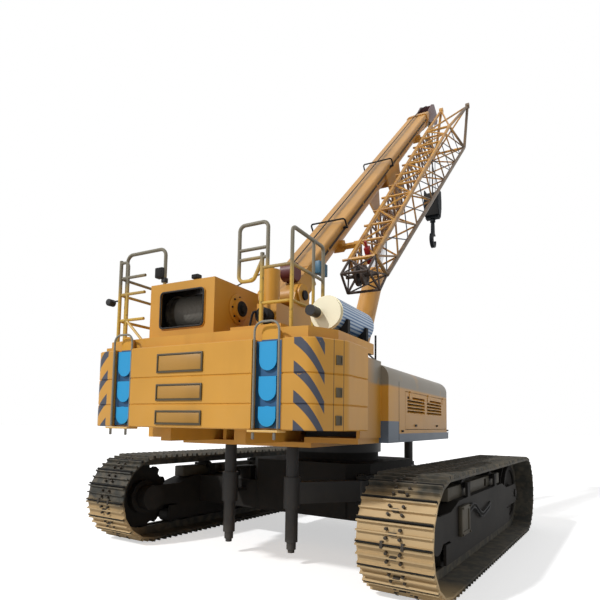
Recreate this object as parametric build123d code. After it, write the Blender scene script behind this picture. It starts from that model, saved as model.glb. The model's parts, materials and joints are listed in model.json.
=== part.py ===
"""Crawler crane with a telescopic boom and a lattice fly jib stowed beside it.

Frame: millimetres, +X to the right, +Y forward, +Z up.  The origin is on the
ground under the slewing axis.  The boom's own pieces are drawn in a boom frame
(+Y along the boom, +Z out of its top, origin on the foot pin) and then placed.
"""
from build123d import *
from math import atan2, cos, degrees, hypot, pi, radians, sin, sqrt
import os

os.makedirs("parts", exist_ok=True)

# ---------------------------------------------------------------- clearances
SEAT = 0.3          # gap of a seated piece
RUN = 0.1           # radial clearance of a pin in its bore
FREE = 12.0         # gap beside moving pieces

# ---------------------------------------------------------------- tracks
GAUGE = 4270.0      # between the centres of the tracks
TRACK_LENGTH = 5410.0
TRACK_HEIGHT = 1225.0
SHOE_WIDTH = 768.0
SHOE_COUNT = 56
SHOE_PLATE = 22.0
GROUSER = 38.0      # height of a bar over the shoe plate
LINK_DEPTH = 105.0  # chain link, from the shoe inwards
LINK_WIDTH = 46.0
LINK_GAP = 108.0    # between the two rows of links
LINK_FACETS = 16    # flats round each end of the links' inner path
TRACK_SLEW = -4.66  # degrees the undercarriage stands turned under the upper works

AXLE_Z = TRACK_HEIGHT / 2
HALF_RUN = (TRACK_LENGTH - TRACK_HEIGHT) / 2        # idler and sprocket centres
PATH_R = TRACK_HEIGHT / 2 - SHOE_PLATE - GROUSER    # inner face of the shoes
RAIL_R = PATH_R - LINK_DEPTH                        # inner face of the links
TRACK_X = GAUGE / 2

# ---------------------------------------------------------------- undercarriage
FRAME_HALF = 180.0          # half width of a track frame
FRAME_Z = (AXLE_Z - 200.0, AXLE_Z + 240.0)
FRAME_PLATE = 32.0
ROLLER_R = 95.0
ROLLER_COUNT = 9
ROLLER_PITCH = 0.18 * HALF_RUN
TOP_ROLLER_R = 72.0
TOP_ROLLER_Y = 0.34 * HALF_RUN
AXLE_R = 34.0
IDLER_AXLE_R = 62.0
MOTOR_R = 175.0
MOTOR_LENGTH = 150.0
SPROCKET_TEETH = 14
TOOTH = 52.0
FRAME_HALF_LENGTH = HALF_RUN - RAIL_R - TOOTH - 30

BEAM_Y = 800.0
BEAM_HALF = 190.0
BEAM_Z = (430.0, 850.0)
CARBODY = (1000.0, 1010.0, 450.0, 1180.0)   # half width, half length, bottom, top
RING_R = 740.0
RING_BORE = 520.0
RING_FOOT_Z = 1300.0

ARM_PIVOT = (1080.0, 1190.0)
JACK_PLACE = (500.0, 1930.0)
ARM_Z = (740.0, 1000.0)
ARM_PIN_R = 45.0
EAR = 45.0                  # thickness of an ear of the carbody
JACK_R = 78.0
JACK_Z = (150.0, 1420.0)
JACK_ROD_R = 58.0
JACK_ROD_OUT = 130.0

# ---------------------------------------------------------------- superstructure
DECK_Z = (1455.0, 1510.0)     # bed plate of the turntable
DECK_HALF = 900.0
DECK_Y = (-2560.0, 1500.0)
SIDE_X = 1575.0             # outer side of hood, tanks, cab and counterweight
FLOOR_Z = DECK_Z[1]         # underside of hood, tanks and cab

BOOM_PIVOT = (-1700.0, 3400.0)      # y, z
BOOM_ANGLE = 42.5                   # at rest
FOOT_PIN_R = 65.0
FOOT_BOSS_R = 135.0
CHEEK = 45.0                        # thickness of a boom foot plate

LUFF_FOOT = (200.0, 1700.0)         # y, z of the luffing cylinder's foot pin
LUFF_FOOT_R = 125.0
LUFF_FOOT_PIN_R = 48.0
LUFF_LUG = (5200.0, -840.0)         # along and below the boom
LUFF_EYE_R = 100.0
BARREL_R = 190.0
BARREL_LENGTH = 3390.0
BARREL_FLOOR = 150.0            # foot pin to the bottom of the bore
ROD_INSIDE = 1540.0             # length of rod inside the barrel at rest
ROD_R = 105.0
GLAND = (70.0, 10.0)             # length, height over the barrel
LUG_PLATE = 34.0

SLAB_Z = (1650.0, 1890.0, 2172.0, 2500.0)
SLAB_NAMES = ("lower", "middle", "upper")
SLAB_CHAMFER = 10.0
WEIGHT_OUTLINE = ((1579.0, -2620.0), (1579.0, -3130.0), (1390.0, -3490.0), (770.0, -3570.0))
CORNER_R = 130.0
POCKET_X = (785.0, 1085.0)
POCKET_DEPTH = 95.0
HANGER_PLATE = 20.0
TONGUE = (190.0, 30.0)      # width and thickness
TAB_R = 88.0                # rounded top of a hanger, over the slabs

HOOD_X = 420.0
HOOD_Y = (-1965.0, 1080.0)
HOOD_Z = (1615.0, 2420.0)
HOOD_WALL = 40.0
HOOD_ROUND = 170.0
DOOR_Y = (-1330.0, 900.0)
DOOR_Z = (1660.0, 2140.0)
DOOR_GAP = 7.0
HINGE_R = 9.0
HINGE_AXIS = (SIDE_X + HINGE_R + SEAT, DOOR_Z[1] - 2)      # x, z
HINGE_Y = (-1100.0, -215.0, 670.0)
LOUVRES = ((-1240.0, -420.0), (-300.0, 560.0))      # y from, y to
LOUVRE_Z = (1860.0, 2080.0)
LOUVRE_SLATS = 5

ENGINE = (560.0, 1350.0, -1500.0, 500.0, DECK_Z[1] + SEAT, 2250.0)

TANK_X = 640.0
TANKS = (("fuel_tank", -2480.0, -1330.0, 2300.0), ("hydraulic_tank", -1290.0, 240.0, 2380.0))

CAB_X = 650.0
CAB_Y = (300.0, 2120.0)
CAB_Z = (FLOOR_Z, 3130.0)
CAB_WALL = 55.0
CAB_DOOR_Y = (1010.0, 1760.0)
CAB_DOOR_Z = (1640.0, 2990.0)
CAB_DOOR_THICK = 45.0
CAB_DOOR_LAP = 40.0
GLASS = 8.0

DECK_TOP = 2620.0           # walking surface over the counterweight
HOUSING = (-1110.0, -130.0, -3000.0, -2100.0, DECK_TOP, 3370.0)
HOUSING_WALL = 22.0
MOUTH = (-930.0, -275.0, 2820.0, 3255.0)
MOUTH_ROUND = 45.0
DECK_OUTLINE = ((1450.0, HOUSING[3] - 10), (1450.0, -3080.0), (1290.0, -3400.0), (700.0, -3470.0))
DECK_WING = 1750.0          # left end of the walkway beside the counterweight
LOW_BOX = (150.0, 790.0, -3060.0, -2560.0, DECK_TOP + 125)
VALVE = (150.0, 420.0, -2550.0, -2200.0, 3120.0)    # x, y ranges and top of the valve stand
ACCUMULATOR = (240.0, -2380.0, 105.0, 3560.0)       # x, y, radius, top
DRUM_CENTRE = (-2540.0, 3080.0)
DRUM_R = 222.0
DRUM_FLANGE_R = 255.0
DRUM_FLANGE = 22.0
DRUM_SHAFT_R = 60.0

CANISTER = (1205.0, -2870.0, -1950.0, 2855.0)       # x, rear y, front y, z
CANISTER_R = 185.0

RAIL_TUBE = 19.0
POST_TUBE = 22.0
RAIL_HEIGHTS = (340.0, 670.0, 880.0)        # three rails over the deck, left corner
RAIL_CORNER = (-1580.0, -3060.0)            # x, y of the left rear corner post
RAIL_POST_TOP = 3700.0
GRAB_TOP = 3830.0
GATE_X = (130.0, 440.0, 510.0, 820.0)       # loop, post, loop, corner post of the right rails
GATE_Y = (-2900.0, -2400.0, -2150.0)
GATE_Z = (3020.0, 3290.0, 3420.0, 3540.0, 3650.0, 3830.0, 3940.0)

# ---------------------------------------------------------------- boom
BOOM_REACH = 10500.0        # foot pin to head sheaves
SECTION_WIDTH = 480.0       # base section, outside
SECTION_HEIGHT = 360.0
SECTION_WALL = 12.0
SECTION_GAP = 13.0          # between nested sections
SECTION_TOP_R = 36.0
UNDERSIDE_SHARE = 0.2      # highest start of the round underside, as a share of the height
BASE_START = 520.0
BASE_END = BOOM_REACH - 1350
NEST_START = 900.0
NEST_STEP = 170.0           # how far each retracted section stands out of the last
COLLAR = (110.0, 24.0)      # length, height over the section
HEAD_PLATE = 30.0
SHEAVE_R = 185.0
SHEAVE_DROP = 230.0
SHEAVE_COUNT = 4
GROOVE = 28.0
ROPE_R = 9.0

GUIDES = (2050.0, 5150.0)
GUIDE_TUBE = 14.0
GUIDE_HALF = 300.0
GUIDE_LIFT = 55.0
REEL = (180.0, 270.0, 120.0)    # along and above the boom, radius

JIB_SECTIONS = (
    # along the boom for the upper and the lower chords; x of the upper left, upper right,
    # lower right and lower left chord; z of the upper and the lower chords
    (1200.0, 1335.0, 560.0, 960.0, 1010.0, 510.0, -105.0, -485.0),
    (BOOM_REACH - 2190, BOOM_REACH - 1740, 355.0, 900.0, 1100.0, 380.0, -95.0, -770.0),
)
JIB_TIPS = ((380.0, BOOM_REACH - 200, -60.0), (1080.0, BOOM_REACH - 300, -100.0))    # pins of its fork
JIB_BAYS = 11
JIB_STUB = 110.0            # overhang of the rungs beyond the upper left chord
JIB_HOLD = (0.08, 0.93)     # shares of its length where the boom holds it
JIB_PAD = 50.0
CHORD_R = 36.0
RUNG_R = 22.0
LACE_R = 16.0

HOOK_BLOCK_DROP = 2450.0    # head sheave axis to block sheave axis
BLOCK_HALF = 200.0
BLOCK_PLATE = 25.0
BLOCK_Z = (-380.0, 330.0)   # bottom and top of its plates from the sheave axis
TRUNNION_Z = -460.0
HOOK_DROP = 605.0           # trunnion to the centre of the hook's curl
HOOK_R = 205.0
HOOK_BORE = 108.0


# ================================================================ helpers
def block(x0, x1, y0, y1, z0, z1):
    """A box between two corners."""
    return Pos((x0 + x1) / 2, (y0 + y1) / 2, (z0 + z1) / 2) * Box(abs(x1 - x0), abs(y1 - y0), abs(z1 - z0))


def rod_x(x0, x1, y, z, r):
    """A cylinder along X."""
    return Pos((x0 + x1) / 2, y, z) * Rot(0, 90, 0) * Cylinder(r, abs(x1 - x0))


def rod_y(y0, y1, x, z, r):
    """A cylinder along Y."""
    return Pos(x, (y0 + y1) / 2, z) * Rot(90, 0, 0) * Cylinder(r, abs(y1 - y0))


def rod_z(z0, z1, x, y, r):
    """A cylinder along Z."""
    return Pos(x, y, (z0 + z1) / 2) * Cylinder(r, abs(z1 - z0))


def plate_x(points, x0, x1):
    """A plate with its outline given as (y, z), from x0 to x1."""
    return extrude(Plane.YZ.offset(x0) * Polygon(*points, align=None), amount=x1 - x0, dir=(1, 0, 0))


def plate_z(points, z0, z1):
    """A plate with its outline given as (x, y), from z0 to z1."""
    return extrude(Plane.XY.offset(z0) * Polygon(*points, align=None), amount=z1 - z0, dir=(0, 0, 1))


def bar(a, b, r, sides=6):
    """A straight tube-like bar between two points, with flats so that many can be joined."""
    a, b = Vector(*a), Vector(*b)
    line = b - a
    return extrude(Plane(origin=a, z_dir=line.normalized()) * RegularPolygon(r, sides), amount=line.length)


def tube_path(points, r, bend=90.0):
    """A bent tube with ten flats through corner points."""
    path = FilletPolyline(*points, radius=bend)
    start = Plane(origin=path @ 0, z_dir=path % 0)
    return sweep(start * RegularPolygon(r, 10), path=path)


def fuse(pieces):
    """Join a list of solids into one."""
    pieces = list(pieces)
    return pieces[0].fuse(*pieces[1:]) if len(pieces) > 1 else pieces[0]


def mirror_x(solid):
    return mirror(solid, about=Plane.YZ)


def mirror_y(solid):
    return mirror(solid, about=Plane.XZ)


def save(name, *solids):
    """Write one node."""
    flat = []
    for item in solids:
        flat += item.solids()
    shape = flat[0] if len(flat) == 1 else Compound(children=flat)
    export_step(shape, f"parts/{name}.step")


def on_boom(solid):
    """Place a piece drawn in the boom frame."""
    return Location((0, *BOOM_PIVOT), (BOOM_ANGLE, 0, 0)) * solid


def boom_point(along, above):
    """y and z of a point of the boom frame."""
    c, s = cos(radians(BOOM_ANGLE)), sin(radians(BOOM_ANGLE))
    return (BOOM_PIVOT[0] + along * c - above * s, BOOM_PIVOT[1] + along * s + above * c)


# ================================================================ tracks
def loop_point(s):
    """Point of the track path at arc length s, in (y, z)."""
    arc = pi * PATH_R
    run = 2 * HALF_RUN
    s = s % (2 * (arc + run))
    if s < run:
        return (-HALF_RUN + s, AXLE_Z - PATH_R)
    if s < run + arc:
        a = -pi / 2 + (s - run) / PATH_R
        return (HALF_RUN + PATH_R * cos(a), AXLE_Z + PATH_R * sin(a))
    if s < 2 * run + arc:
        return (HALF_RUN - (s - run - arc), AXLE_Z + PATH_R)
    a = pi / 2 + (s - 2 * run - arc) / PATH_R
    return (-HALF_RUN + PATH_R * cos(a), AXLE_Z + PATH_R * sin(a))


SHOE_PROFILE = (
    # share of the shoe's length, height over its inner face
    (0.00, 0.5 * SHOE_PLATE),
    (0.02, SHOE_PLATE + GROUSER),
    (0.09, SHOE_PLATE + GROUSER),
    (0.13, SHOE_PLATE),
    (0.44, SHOE_PLATE),
    (0.47, SHOE_PLATE + GROUSER),
    (0.53, SHOE_PLATE + GROUSER),
    (0.56, SHOE_PLATE),
    (0.89, SHOE_PLATE),
    (0.94, SHOE_PLATE + GROUSER),
)


def shoe_corners():
    """Inner corners of the closed loop of shoes, in (y, z)."""
    pitch = 2 * (pi * PATH_R + 2 * HALF_RUN) / SHOE_COUNT
    return [loop_point(i * pitch) for i in range(SHOE_COUNT)]


def shoe_band(inner):
    """All shoes of one track as one band with its bars, centred on X = 0."""
    outer = []
    for i, (y0, z0) in enumerate(inner):
        y1, z1 = inner[(i + 1) % SHOE_COUNT]
        dy, dz = y1 - y0, z1 - z0
        size = hypot(dy, dz)
        ny, nz = dz / size, -dy / size
        outer += [(y0 + f * dy + h * ny, z0 + f * dz + h * nz) for f, h in SHOE_PROFILE]
    half = SHOE_WIDTH / 2
    return plate_x(outer, -half, half) - plate_x(inner, -half - 1, half + 1)


def link_path():
    """Inner face of the links, round the rollers and idlers, in (y, z)."""
    r = RAIL_R / cos(pi / (2 * LINK_FACETS))
    angles = [((i + 0.5) / LINK_FACETS - 0.5) * pi for i in range(LINK_FACETS)]
    front = [(HALF_RUN + r * cos(a), AXLE_Z + r * sin(a)) for a in angles]
    return front + [(-y, 2 * AXLE_Z - z) for y, z in front]


def track():
    """One closed track loop: shoes and two rows of links."""
    inner = shoe_corners()
    rows = []
    for side in (-1, 1):
        x0, x1 = sorted((side * LINK_GAP / 2, side * (LINK_GAP / 2 + LINK_WIDTH)))
        rows.append(plate_x(inner, x0, x1) - plate_x(link_path(), x0 - 1, x1 + 1))
    return fuse([shoe_band(inner)] + rows)


def track_frame():
    """Side frame of one track, centred on X = 0 with its outer side at +X."""
    z0, z1 = FRAME_Z
    y1 = FRAME_HALF_LENGTH
    body = plate_x([(-y1, z0 + 60), (-y1 + 160, z0), (y1 - 160, z0), (y1, z0 + 60), (y1, z1 - 120),
                    (y1 - 420, z1), (-y1 + 420, z1), (-y1, z1 - 120)], -FRAME_HALF, FRAME_HALF)
    pieces = [body]
    fork = HALF_RUN + 130
    for side in (-1, 1):
        x0 = side * FRAME_HALF if side < 0 else FRAME_HALF - FRAME_PLATE
        x1 = x0 + FRAME_PLATE
        for end in (-1, 1):
            pieces.append(plate_x([(end * (y1 - 300), AXLE_Z - 150), (end * (fork - 60), AXLE_Z - 150),
                                   (end * fork, AXLE_Z - 80), (end * fork, AXLE_Z + 80),
                                   (end * (fork - 60), AXLE_Z + 150),
                                   (end * (y1 - 300), AXLE_Z + 150)], x0, x1))
        skirt = ROLLER_PITCH * (ROLLER_COUNT - 1) / 2 + 130
        pieces.append(block(x0, x1, -skirt, skirt, roller_z() - 45, z0 + 20))
        for y in (-TOP_ROLLER_Y, TOP_ROLLER_Y):
            pieces.append(block(x0, x1, y - 60, y + 60, z1 - 10, top_roller_z() + 40))
    frame = fuse(pieces)
    for end in (-1, 1):
        frame -= rod_x(-FRAME_HALF - 5, FRAME_HALF + 5, end * HALF_RUN, AXLE_Z, IDLER_AXLE_R + RUN)
    return frame


def roller_z():
    return AXLE_Z - RAIL_R + SEAT + ROLLER_R


def top_roller_z():
    return AXLE_Z + RAIL_R - SEAT - TOP_ROLLER_R


def rollers():
    """Lower and upper rollers of one track, centred on X = 0."""
    reach = FRAME_HALF - FRAME_PLATE - SEAT
    half = LINK_GAP / 2 + LINK_WIDTH
    out = []
    for i in range(ROLLER_COUNT):
        y = (i - (ROLLER_COUNT - 1) / 2) * ROLLER_PITCH
        z = roller_z()
        out.append(rod_x(-half, half, y, z, ROLLER_R) + rod_x(-reach, reach, y, z, AXLE_R))
    for y in (-TOP_ROLLER_Y, TOP_ROLLER_Y):
        z = top_roller_z()
        out.append(rod_x(-half, half, y, z, TOP_ROLLER_R) + rod_x(-reach, reach, y, z, AXLE_R))
    return out


def idler():
    """Front idler wheel, centred on X = 0."""
    half = LINK_GAP / 2 + LINK_WIDTH
    rim = rod_x(-half, half, HALF_RUN, AXLE_Z, RAIL_R - SEAT)
    rim -= rod_x(half - 30, half + 1, HALF_RUN, AXLE_Z, RAIL_R - 70)
    rim -= rod_x(-half - 1, -half + 30, HALF_RUN, AXLE_Z, RAIL_R - 70)
    flange = rod_x(-LINK_GAP / 2 + 8, LINK_GAP / 2 - 8, HALF_RUN, AXLE_Z, RAIL_R + 40)
    reach = FRAME_HALF - FRAME_PLATE - SEAT
    hub = rod_x(-reach, reach, HALF_RUN, AXLE_Z, 130)
    axle = rod_x(-FRAME_HALF - 20, FRAME_HALF + 20, HALF_RUN, AXLE_Z, IDLER_AXLE_R)
    return fuse([rim, flange, hub, axle])


def sprocket():
    """Rear drive sprocket with its final drive, centred on X = 0, outer side at +X."""
    half = LINK_GAP / 2 - 10
    y = -HALF_RUN
    points = []
    for i in range(SPROCKET_TEETH):
        for share, r in ((-0.30, RAIL_R - 8), (-0.17, RAIL_R + TOOTH),
                         (0.17, RAIL_R + TOOTH), (0.30, RAIL_R - 8)):
            a = 2 * pi * (i + share) / SPROCKET_TEETH
            points.append((y + r * cos(a), AXLE_Z + r * sin(a)))
    wheel = plate_x(points, -half, half)
    reach = FRAME_HALF - FRAME_PLATE - SEAT
    hub = rod_x(-reach, reach, y, AXLE_Z, 235)
    axle = rod_x(-FRAME_HALF - 20, FRAME_HALF + 20, y, AXLE_Z, IDLER_AXLE_R)
    motor = rod_x(-FRAME_HALF - SEAT - MOTOR_LENGTH, -FRAME_HALF - SEAT, y, AXLE_Z, MOTOR_R)
    cover = rod_x(FRAME_HALF + SEAT, FRAME_HALF + 60, y, AXLE_Z, 190)
    return fuse([wheel, hub, axle, motor, cover])


# ================================================================ carbody and jacks
def carbody():
    half_x, half_y, z0, z1 = CARBODY
    core = plate_z([(-half_x, -half_y + 250), (-half_x + 250, -half_y), (half_x - 250, -half_y),
                    (half_x, -half_y + 250), (half_x, half_y - 250), (half_x - 250, half_y),
                    (-half_x + 250, half_y), (-half_x, half_y - 250)], z0, z1)
    reach = TRACK_X - FRAME_HALF
    pieces = [core, rod_z(z1 - 5, RING_FOOT_Z, 0, 0, RING_R - 40)]
    for y in (-BEAM_Y, BEAM_Y):
        pieces.append(block(-reach, reach, y - BEAM_HALF, y + BEAM_HALF, *BEAM_Z))
    px, py = ARM_PIVOT
    for sx in (-1, 1):
        for sy in (-1, 1):
            for z in (ARM_Z[0] - FREE - EAR, ARM_Z[1] + FREE):
                ear = plate_z([(sx * (px - 140), sy * (BEAM_Y)), (sx * (px + 90), sy * (BEAM_Y)),
                               (sx * (px + 70), sy * py), (sx * (px - 70), sy * py)], z, z + EAR)
                pieces.append(ear + rod_z(z, z + EAR, sx * px, sy * py, 75))
            web = block(sx * (px - 140), sx * (px + 60), sy * (BEAM_Y + BEAM_HALF - 40), sy * (BEAM_Y + 40),
                        ARM_Z[0] - 40, ARM_Z[1] + FREE + EAR)
            pieces.append(web)
    body = fuse(pieces)
    for sx in (-1, 1):
        for sy in (-1, 1):
            body += rod_z(ARM_Z[0] - FREE - EAR, ARM_Z[1] + FREE + EAR + 15, sx * px, sy * py, ARM_PIN_R)
    return body


def slewing_ring():
    top = DECK_Z[0] - SEAT
    return rod_z(RING_FOOT_Z, top, 0, 0, RING_R) - rod_z(RING_FOOT_Z - 1, top + 1, 0, 0, RING_BORE)


def jack():
    """Swing arm with its upright jack, for the right rear corner."""
    px, py = ARM_PIVOT[0], -ARM_PIVOT[1]
    jx, jy = JACK_PLACE[0], -JACK_PLACE[1]
    z0, z1 = ARM_Z
    ux, uy = jx - px, jy - py
    size = hypot(ux, uy)
    ux, uy = ux / size, uy / size
    nx, ny = -uy, ux
    near, far = 62.0, 75.0
    arm = plate_z([(px + near * nx, py + near * ny), (jx + far * nx, jy + far * ny),
                   (jx - far * nx, jy - far * ny), (px - near * nx, py - near * ny)], z0, z1)
    arm += rod_z(z0, z1, px, py, 80)
    arm += rod_z(z0 - 60, z1 + 60, jx, jy, JACK_R + 26)
    barrel = rod_z(JACK_Z[0] + JACK_ROD_OUT, JACK_Z[1], jx, jy, JACK_R)
    rod = rod_z(JACK_Z[0] + 40, JACK_Z[0] + JACK_ROD_OUT + 5, jx, jy, JACK_ROD_R)
    ball = rod_z(JACK_Z[0], JACK_Z[0] + 45, jx, jy, JACK_ROD_R - 16)
    solid = fuse([arm, barrel, rod, ball])
    return solid - rod_z(z0 - 100, z1 + 100, px, py, ARM_PIN_R + RUN)


def turned(solid):
    """Turn a piece of the undercarriage about the slewing axis."""
    return Rot(0, 0, TRACK_SLEW) * solid


def build_undercarriage():
    save("carbody", turned(carbody()))
    save("slewing_ring", slewing_ring())
    loop = track()
    frame = track_frame()
    save("track_right", turned(Pos(TRACK_X, 0, 0) * loop))
    save("track_left", turned(Pos(-TRACK_X, 0, 0) * loop))
    save("track_frame_right", turned(Pos(TRACK_X, 0, 0) * frame))
    save("track_frame_left", turned(mirror_x(Pos(TRACK_X, 0, 0) * frame)))
    right = [Pos(TRACK_X, 0, 0) * r for r in rollers()]
    save("track_rollers", *[turned(r) for r in right], *[turned(mirror_x(r)) for r in right])
    for name, wheel in (("idlers", idler()), ("sprockets", sprocket())):
        placed = Pos(TRACK_X, 0, 0) * wheel
        save(name, turned(placed), turned(mirror_x(placed)))
    rear_right = jack()
    save("jack_rear_right", turned(rear_right))
    save("jack_rear_left", turned(mirror_x(rear_right)))
    save("jack_front_right", turned(mirror_y(rear_right)))
    save("jack_front_left", turned(mirror_x(mirror_y(rear_right))))


# ================================================================ superstructure
CHEEK_X = SECTION_WIDTH / 2 + FREE


def turntable_frame():
    """Bed plate, two tall boom foot plates and the tail beams under the counterweight."""
    z0, z1 = DECK_Z
    py, pz = BOOM_PIVOT
    bed = block(-DECK_HALF, DECK_HALF, DECK_Y[0], DECK_Y[1], z0, z1)
    pieces = [bed, rod_z(z0, z1, 0, 0, RING_R + 60)]
    outline = [(DECK_Y[0] + 20, z1 - 5), (DECK_Y[1] - 40, z1 - 5), (DECK_Y[1] - 40, z1 + 160),
               (LUFF_FOOT[0] + 330, LUFF_FOOT[1] + 190), (LUFF_FOOT[0] - 100, LUFF_FOOT[1] + 420),
               (py + 480, pz - 700), (py + 170, pz + 10), (py + 110, pz + 125), (py, pz + 170),
               (py - 110, pz + 125), (py - 190, pz + 10), (HOUSING[3] + 25, DECK_TOP + 200),
               (HOUSING[3] + 25, SLAB_Z[-1] - 20), (DECK_Y[0] + 20, SLAB_Z[0] + 250)]
    for side in (-1, 1):
        x0, x1 = sorted((side * CHEEK_X, side * (CHEEK_X + CHEEK)))
        cheek = plate_x(outline, x0, x1)
        boss = rod_x(x1 if side > 0 else x0 - 30, x1 + 30 if side > 0 else x0, py, pz, 150)
        pieces += [cheek, boss]
        x0, x1 = sorted((side * 420, side * 560))
        pieces.append(block(x0, x1, WEIGHT_OUTLINE[3][1] + 260, DECK_Y[0] + 400, z1 - 5, SLAB_Z[0]))
        for y in (-2300.0, -1000.0, 1000.0):
            x0, x1 = sorted((side * (CHEEK_X + CHEEK - 5), side * (HOOD_X - FREE)))
            pieces.append(block(x0, x1, y - 15, y + 15, z1 - 5, z1 + 90))
    tie = block(-CHEEK_X - 5, CHEEK_X + 5, -2090, -2060, z1 - 5, DECK_TOP + 150)
    pieces.append(tie)
    frame = fuse(pieces)
    frame -= rod_x(-400, 400, py, pz, FOOT_PIN_R + RUN)
    frame -= rod_x(-400, 400, *LUFF_FOOT, LUFF_FOOT_PIN_R + RUN)
    return frame


def hinge_pins():
    """The boom foot pin and the luffing cylinder's foot pin."""
    end = CHEEK_X + CHEEK
    return [rod_x(-end - 55, end + 55, *BOOM_PIVOT, FOOT_PIN_R),
            rod_x(-end - 25, end + 25, *LUFF_FOOT, LUFF_FOOT_PIN_R)]


def both_sides(right):
    """Close a right-hand outline given as (x, y) with its mirror image."""
    return list(right) + [(-x, y) for x, y in reversed(right)]


def weight_outline():
    face = Polygon(*both_sides(WEIGHT_OUTLINE), align=None)
    corner_y = (WEIGHT_OUTLINE[1][1], WEIGHT_OUTLINE[2][1])
    corners = [v for v in face.vertices() if min(abs(v.Y - y) for y in corner_y) < 1]
    return fillet(corners, CORNER_R)


def counterweight_slab(z0, z1):
    """One slab with two upright pockets in its rear face."""
    slab = extrude(Plane.XY.offset(z0) * weight_outline(), amount=z1 - z0, dir=(0, 0, 1))
    slab = chamfer(slab.edges().group_by(Axis.Z)[0] + slab.edges().group_by(Axis.Z)[-1], SLAB_CHAMFER)
    rear = WEIGHT_OUTLINE[3][1]
    for side in (-1, 1):
        x0, x1 = sorted((side * POCKET_X[0], side * POCKET_X[1]))
        slab -= block(x0, x1, rear - 50, rear + POCKET_DEPTH, z0 - 5, z1 + 5)
    return slab


def hangers():
    """Plates in the two pockets, each with a round-ended tongue for every slab."""
    rear = WEIGHT_OUTLINE[3][1]
    out = []
    for side in (-1, 1):
        x0, x1 = sorted((side * (POCKET_X[0] + SEAT), side * (POCKET_X[1] - SEAT)))
        back = rear + POCKET_DEPTH - SEAT
        plate = block(x0, x1, back - HANGER_PLATE, back, SLAB_Z[0] + 15, SLAB_Z[-1] - 15)
        mid = (x0 + x1) / 2
        for z0, z1 in zip(SLAB_Z[:-1], SLAB_Z[1:]):
            r = TONGUE[0] / 2
            low, top = z0 + 30 + r, z1 - 25
            y0 = back - HANGER_PLATE - TONGUE[1]
            tongue = block(mid - r, mid + r, y0, back - HANGER_PLATE + 1, low, top)
            tongue += rod_y(y0, back - HANGER_PLATE + 1, mid, low, r)
            plate += tongue
        plate += block(mid - TAB_R, mid + TAB_R, back - HANGER_PLATE, back, SLAB_Z[-1] - 20, SLAB_Z[-1] + 60)
        plate += rod_y(back - HANGER_PLATE, back, mid, SLAB_Z[-1] + 60, TAB_R)
        out.append(plate)
    return out


def engine_hood():
    """Right side housing: walls, roof and a louvred side left open for its door."""
    x0, x1 = HOOD_X, SIDE_X
    y0, y1 = HOOD_Y
    z0, z1 = HOOD_Z
    outer = block(x0, x1, y0, y1, z0, z1)
    round_edges = [e for e in outer.edges() if abs(e.center().X - x1) < 1 and abs(e.center().Z - z1) < 1]
    round_edges += [e for e in outer.edges() if abs(e.center().Y - y1) < 1 and abs(e.center().Z - z1) < 1]
    round_edges += [e for e in outer.edges() if abs(e.center().Y - y1) < 1 and abs(e.center().X - x1) < 1]
    outer = fillet(round_edges, HOOD_ROUND)
    w = HOOD_WALL
    inner = block(x0 + w, x1 - w, y0 + w, y1 - w, z0 - 5, z1 - w)
    limits = {"X": x1 - w, "Y": y1 - w, "Z": z1 - w}
    corner_edges = [e for pair in ("XZ", "YZ", "YX") for e in inner.edges()
                    if all(abs(getattr(e.center(), axis) - limits[axis]) < 1 for axis in pair)]
    inner = fillet(corner_edges, HOOD_ROUND - w)
    hood = outer - inner
    hood -= block(x1 - w - 5, x1 + 5, *DOOR_Y, *DOOR_Z)
    sill = block(x0 + 100, x1, y0, y1 - 30, FLOOR_Z, z0)
    sill -= block(x0 + 100 + w, x1 - w, y0 + w, y1 - w - 30, FLOOR_Z - 5, z0 + 5)
    panel = block(x1 - 130, x1 - 90, -2600, y0, FLOOR_Z + 60, z1 + 20)
    shelf = block(DECK_HALF - 60, x1 - 110, -2600, y0 + w, FLOOR_Z, FLOOR_Z + 60)
    return fuse([hood, sill, panel, shelf])


def hood_door():
    """Louvred side door of the hood, hinged along its top edge."""
    g = DOOR_GAP
    x0, x1 = SIDE_X - HOOD_WALL, SIDE_X
    door = block(x0, x1, DOOR_Y[0] + g, DOOR_Y[1] - g, DOOR_Z[0] + g, DOOR_Z[1] - g)
    for y0, y1 in LOUVRES:
        door -= block(x0 - 5, x1 + 5, y0, y1, *LOUVRE_Z)
        pitch = (LOUVRE_Z[1] - LOUVRE_Z[0]) / LOUVRE_SLATS
        for i in range(LOUVRE_SLATS):
            z = LOUVRE_Z[0] + i * pitch
            points = [(x0 + 4, z + pitch * 0.62), (x1, z - 1), (x1, z + 9), (x0 + 4, z + pitch * 0.62 + 10)]
            slat = extrude(Plane.XZ.offset(-y1 - 1) * Polygon(*points, align=None),
                           amount=y1 - y0 + 2, dir=(0, -1, 0))
            door += slat
    for y in HINGE_Y:
        barrel = rod_y(y - 60, y + 60, *HINGE_AXIS, HINGE_R)
        leaf = block(x1 - 2, x1 + 5, y - 60, y + 60, DOOR_Z[1] - 90, HINGE_AXIS[1])
        door += barrel + leaf
    return door


def mouth_cut(grow, y0, y1):
    """Round-cornered bar through the winch's mouth, larger all round by grow."""
    mx0, mx1, mz0, mz1 = MOUTH
    bar_solid = block(mx0 - grow, mx1 + grow, y0, y1, mz0 - grow, mz1 + grow)
    return fillet(bar_solid.edges().filter_by(Axis.Y), MOUTH_ROUND + grow)


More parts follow.
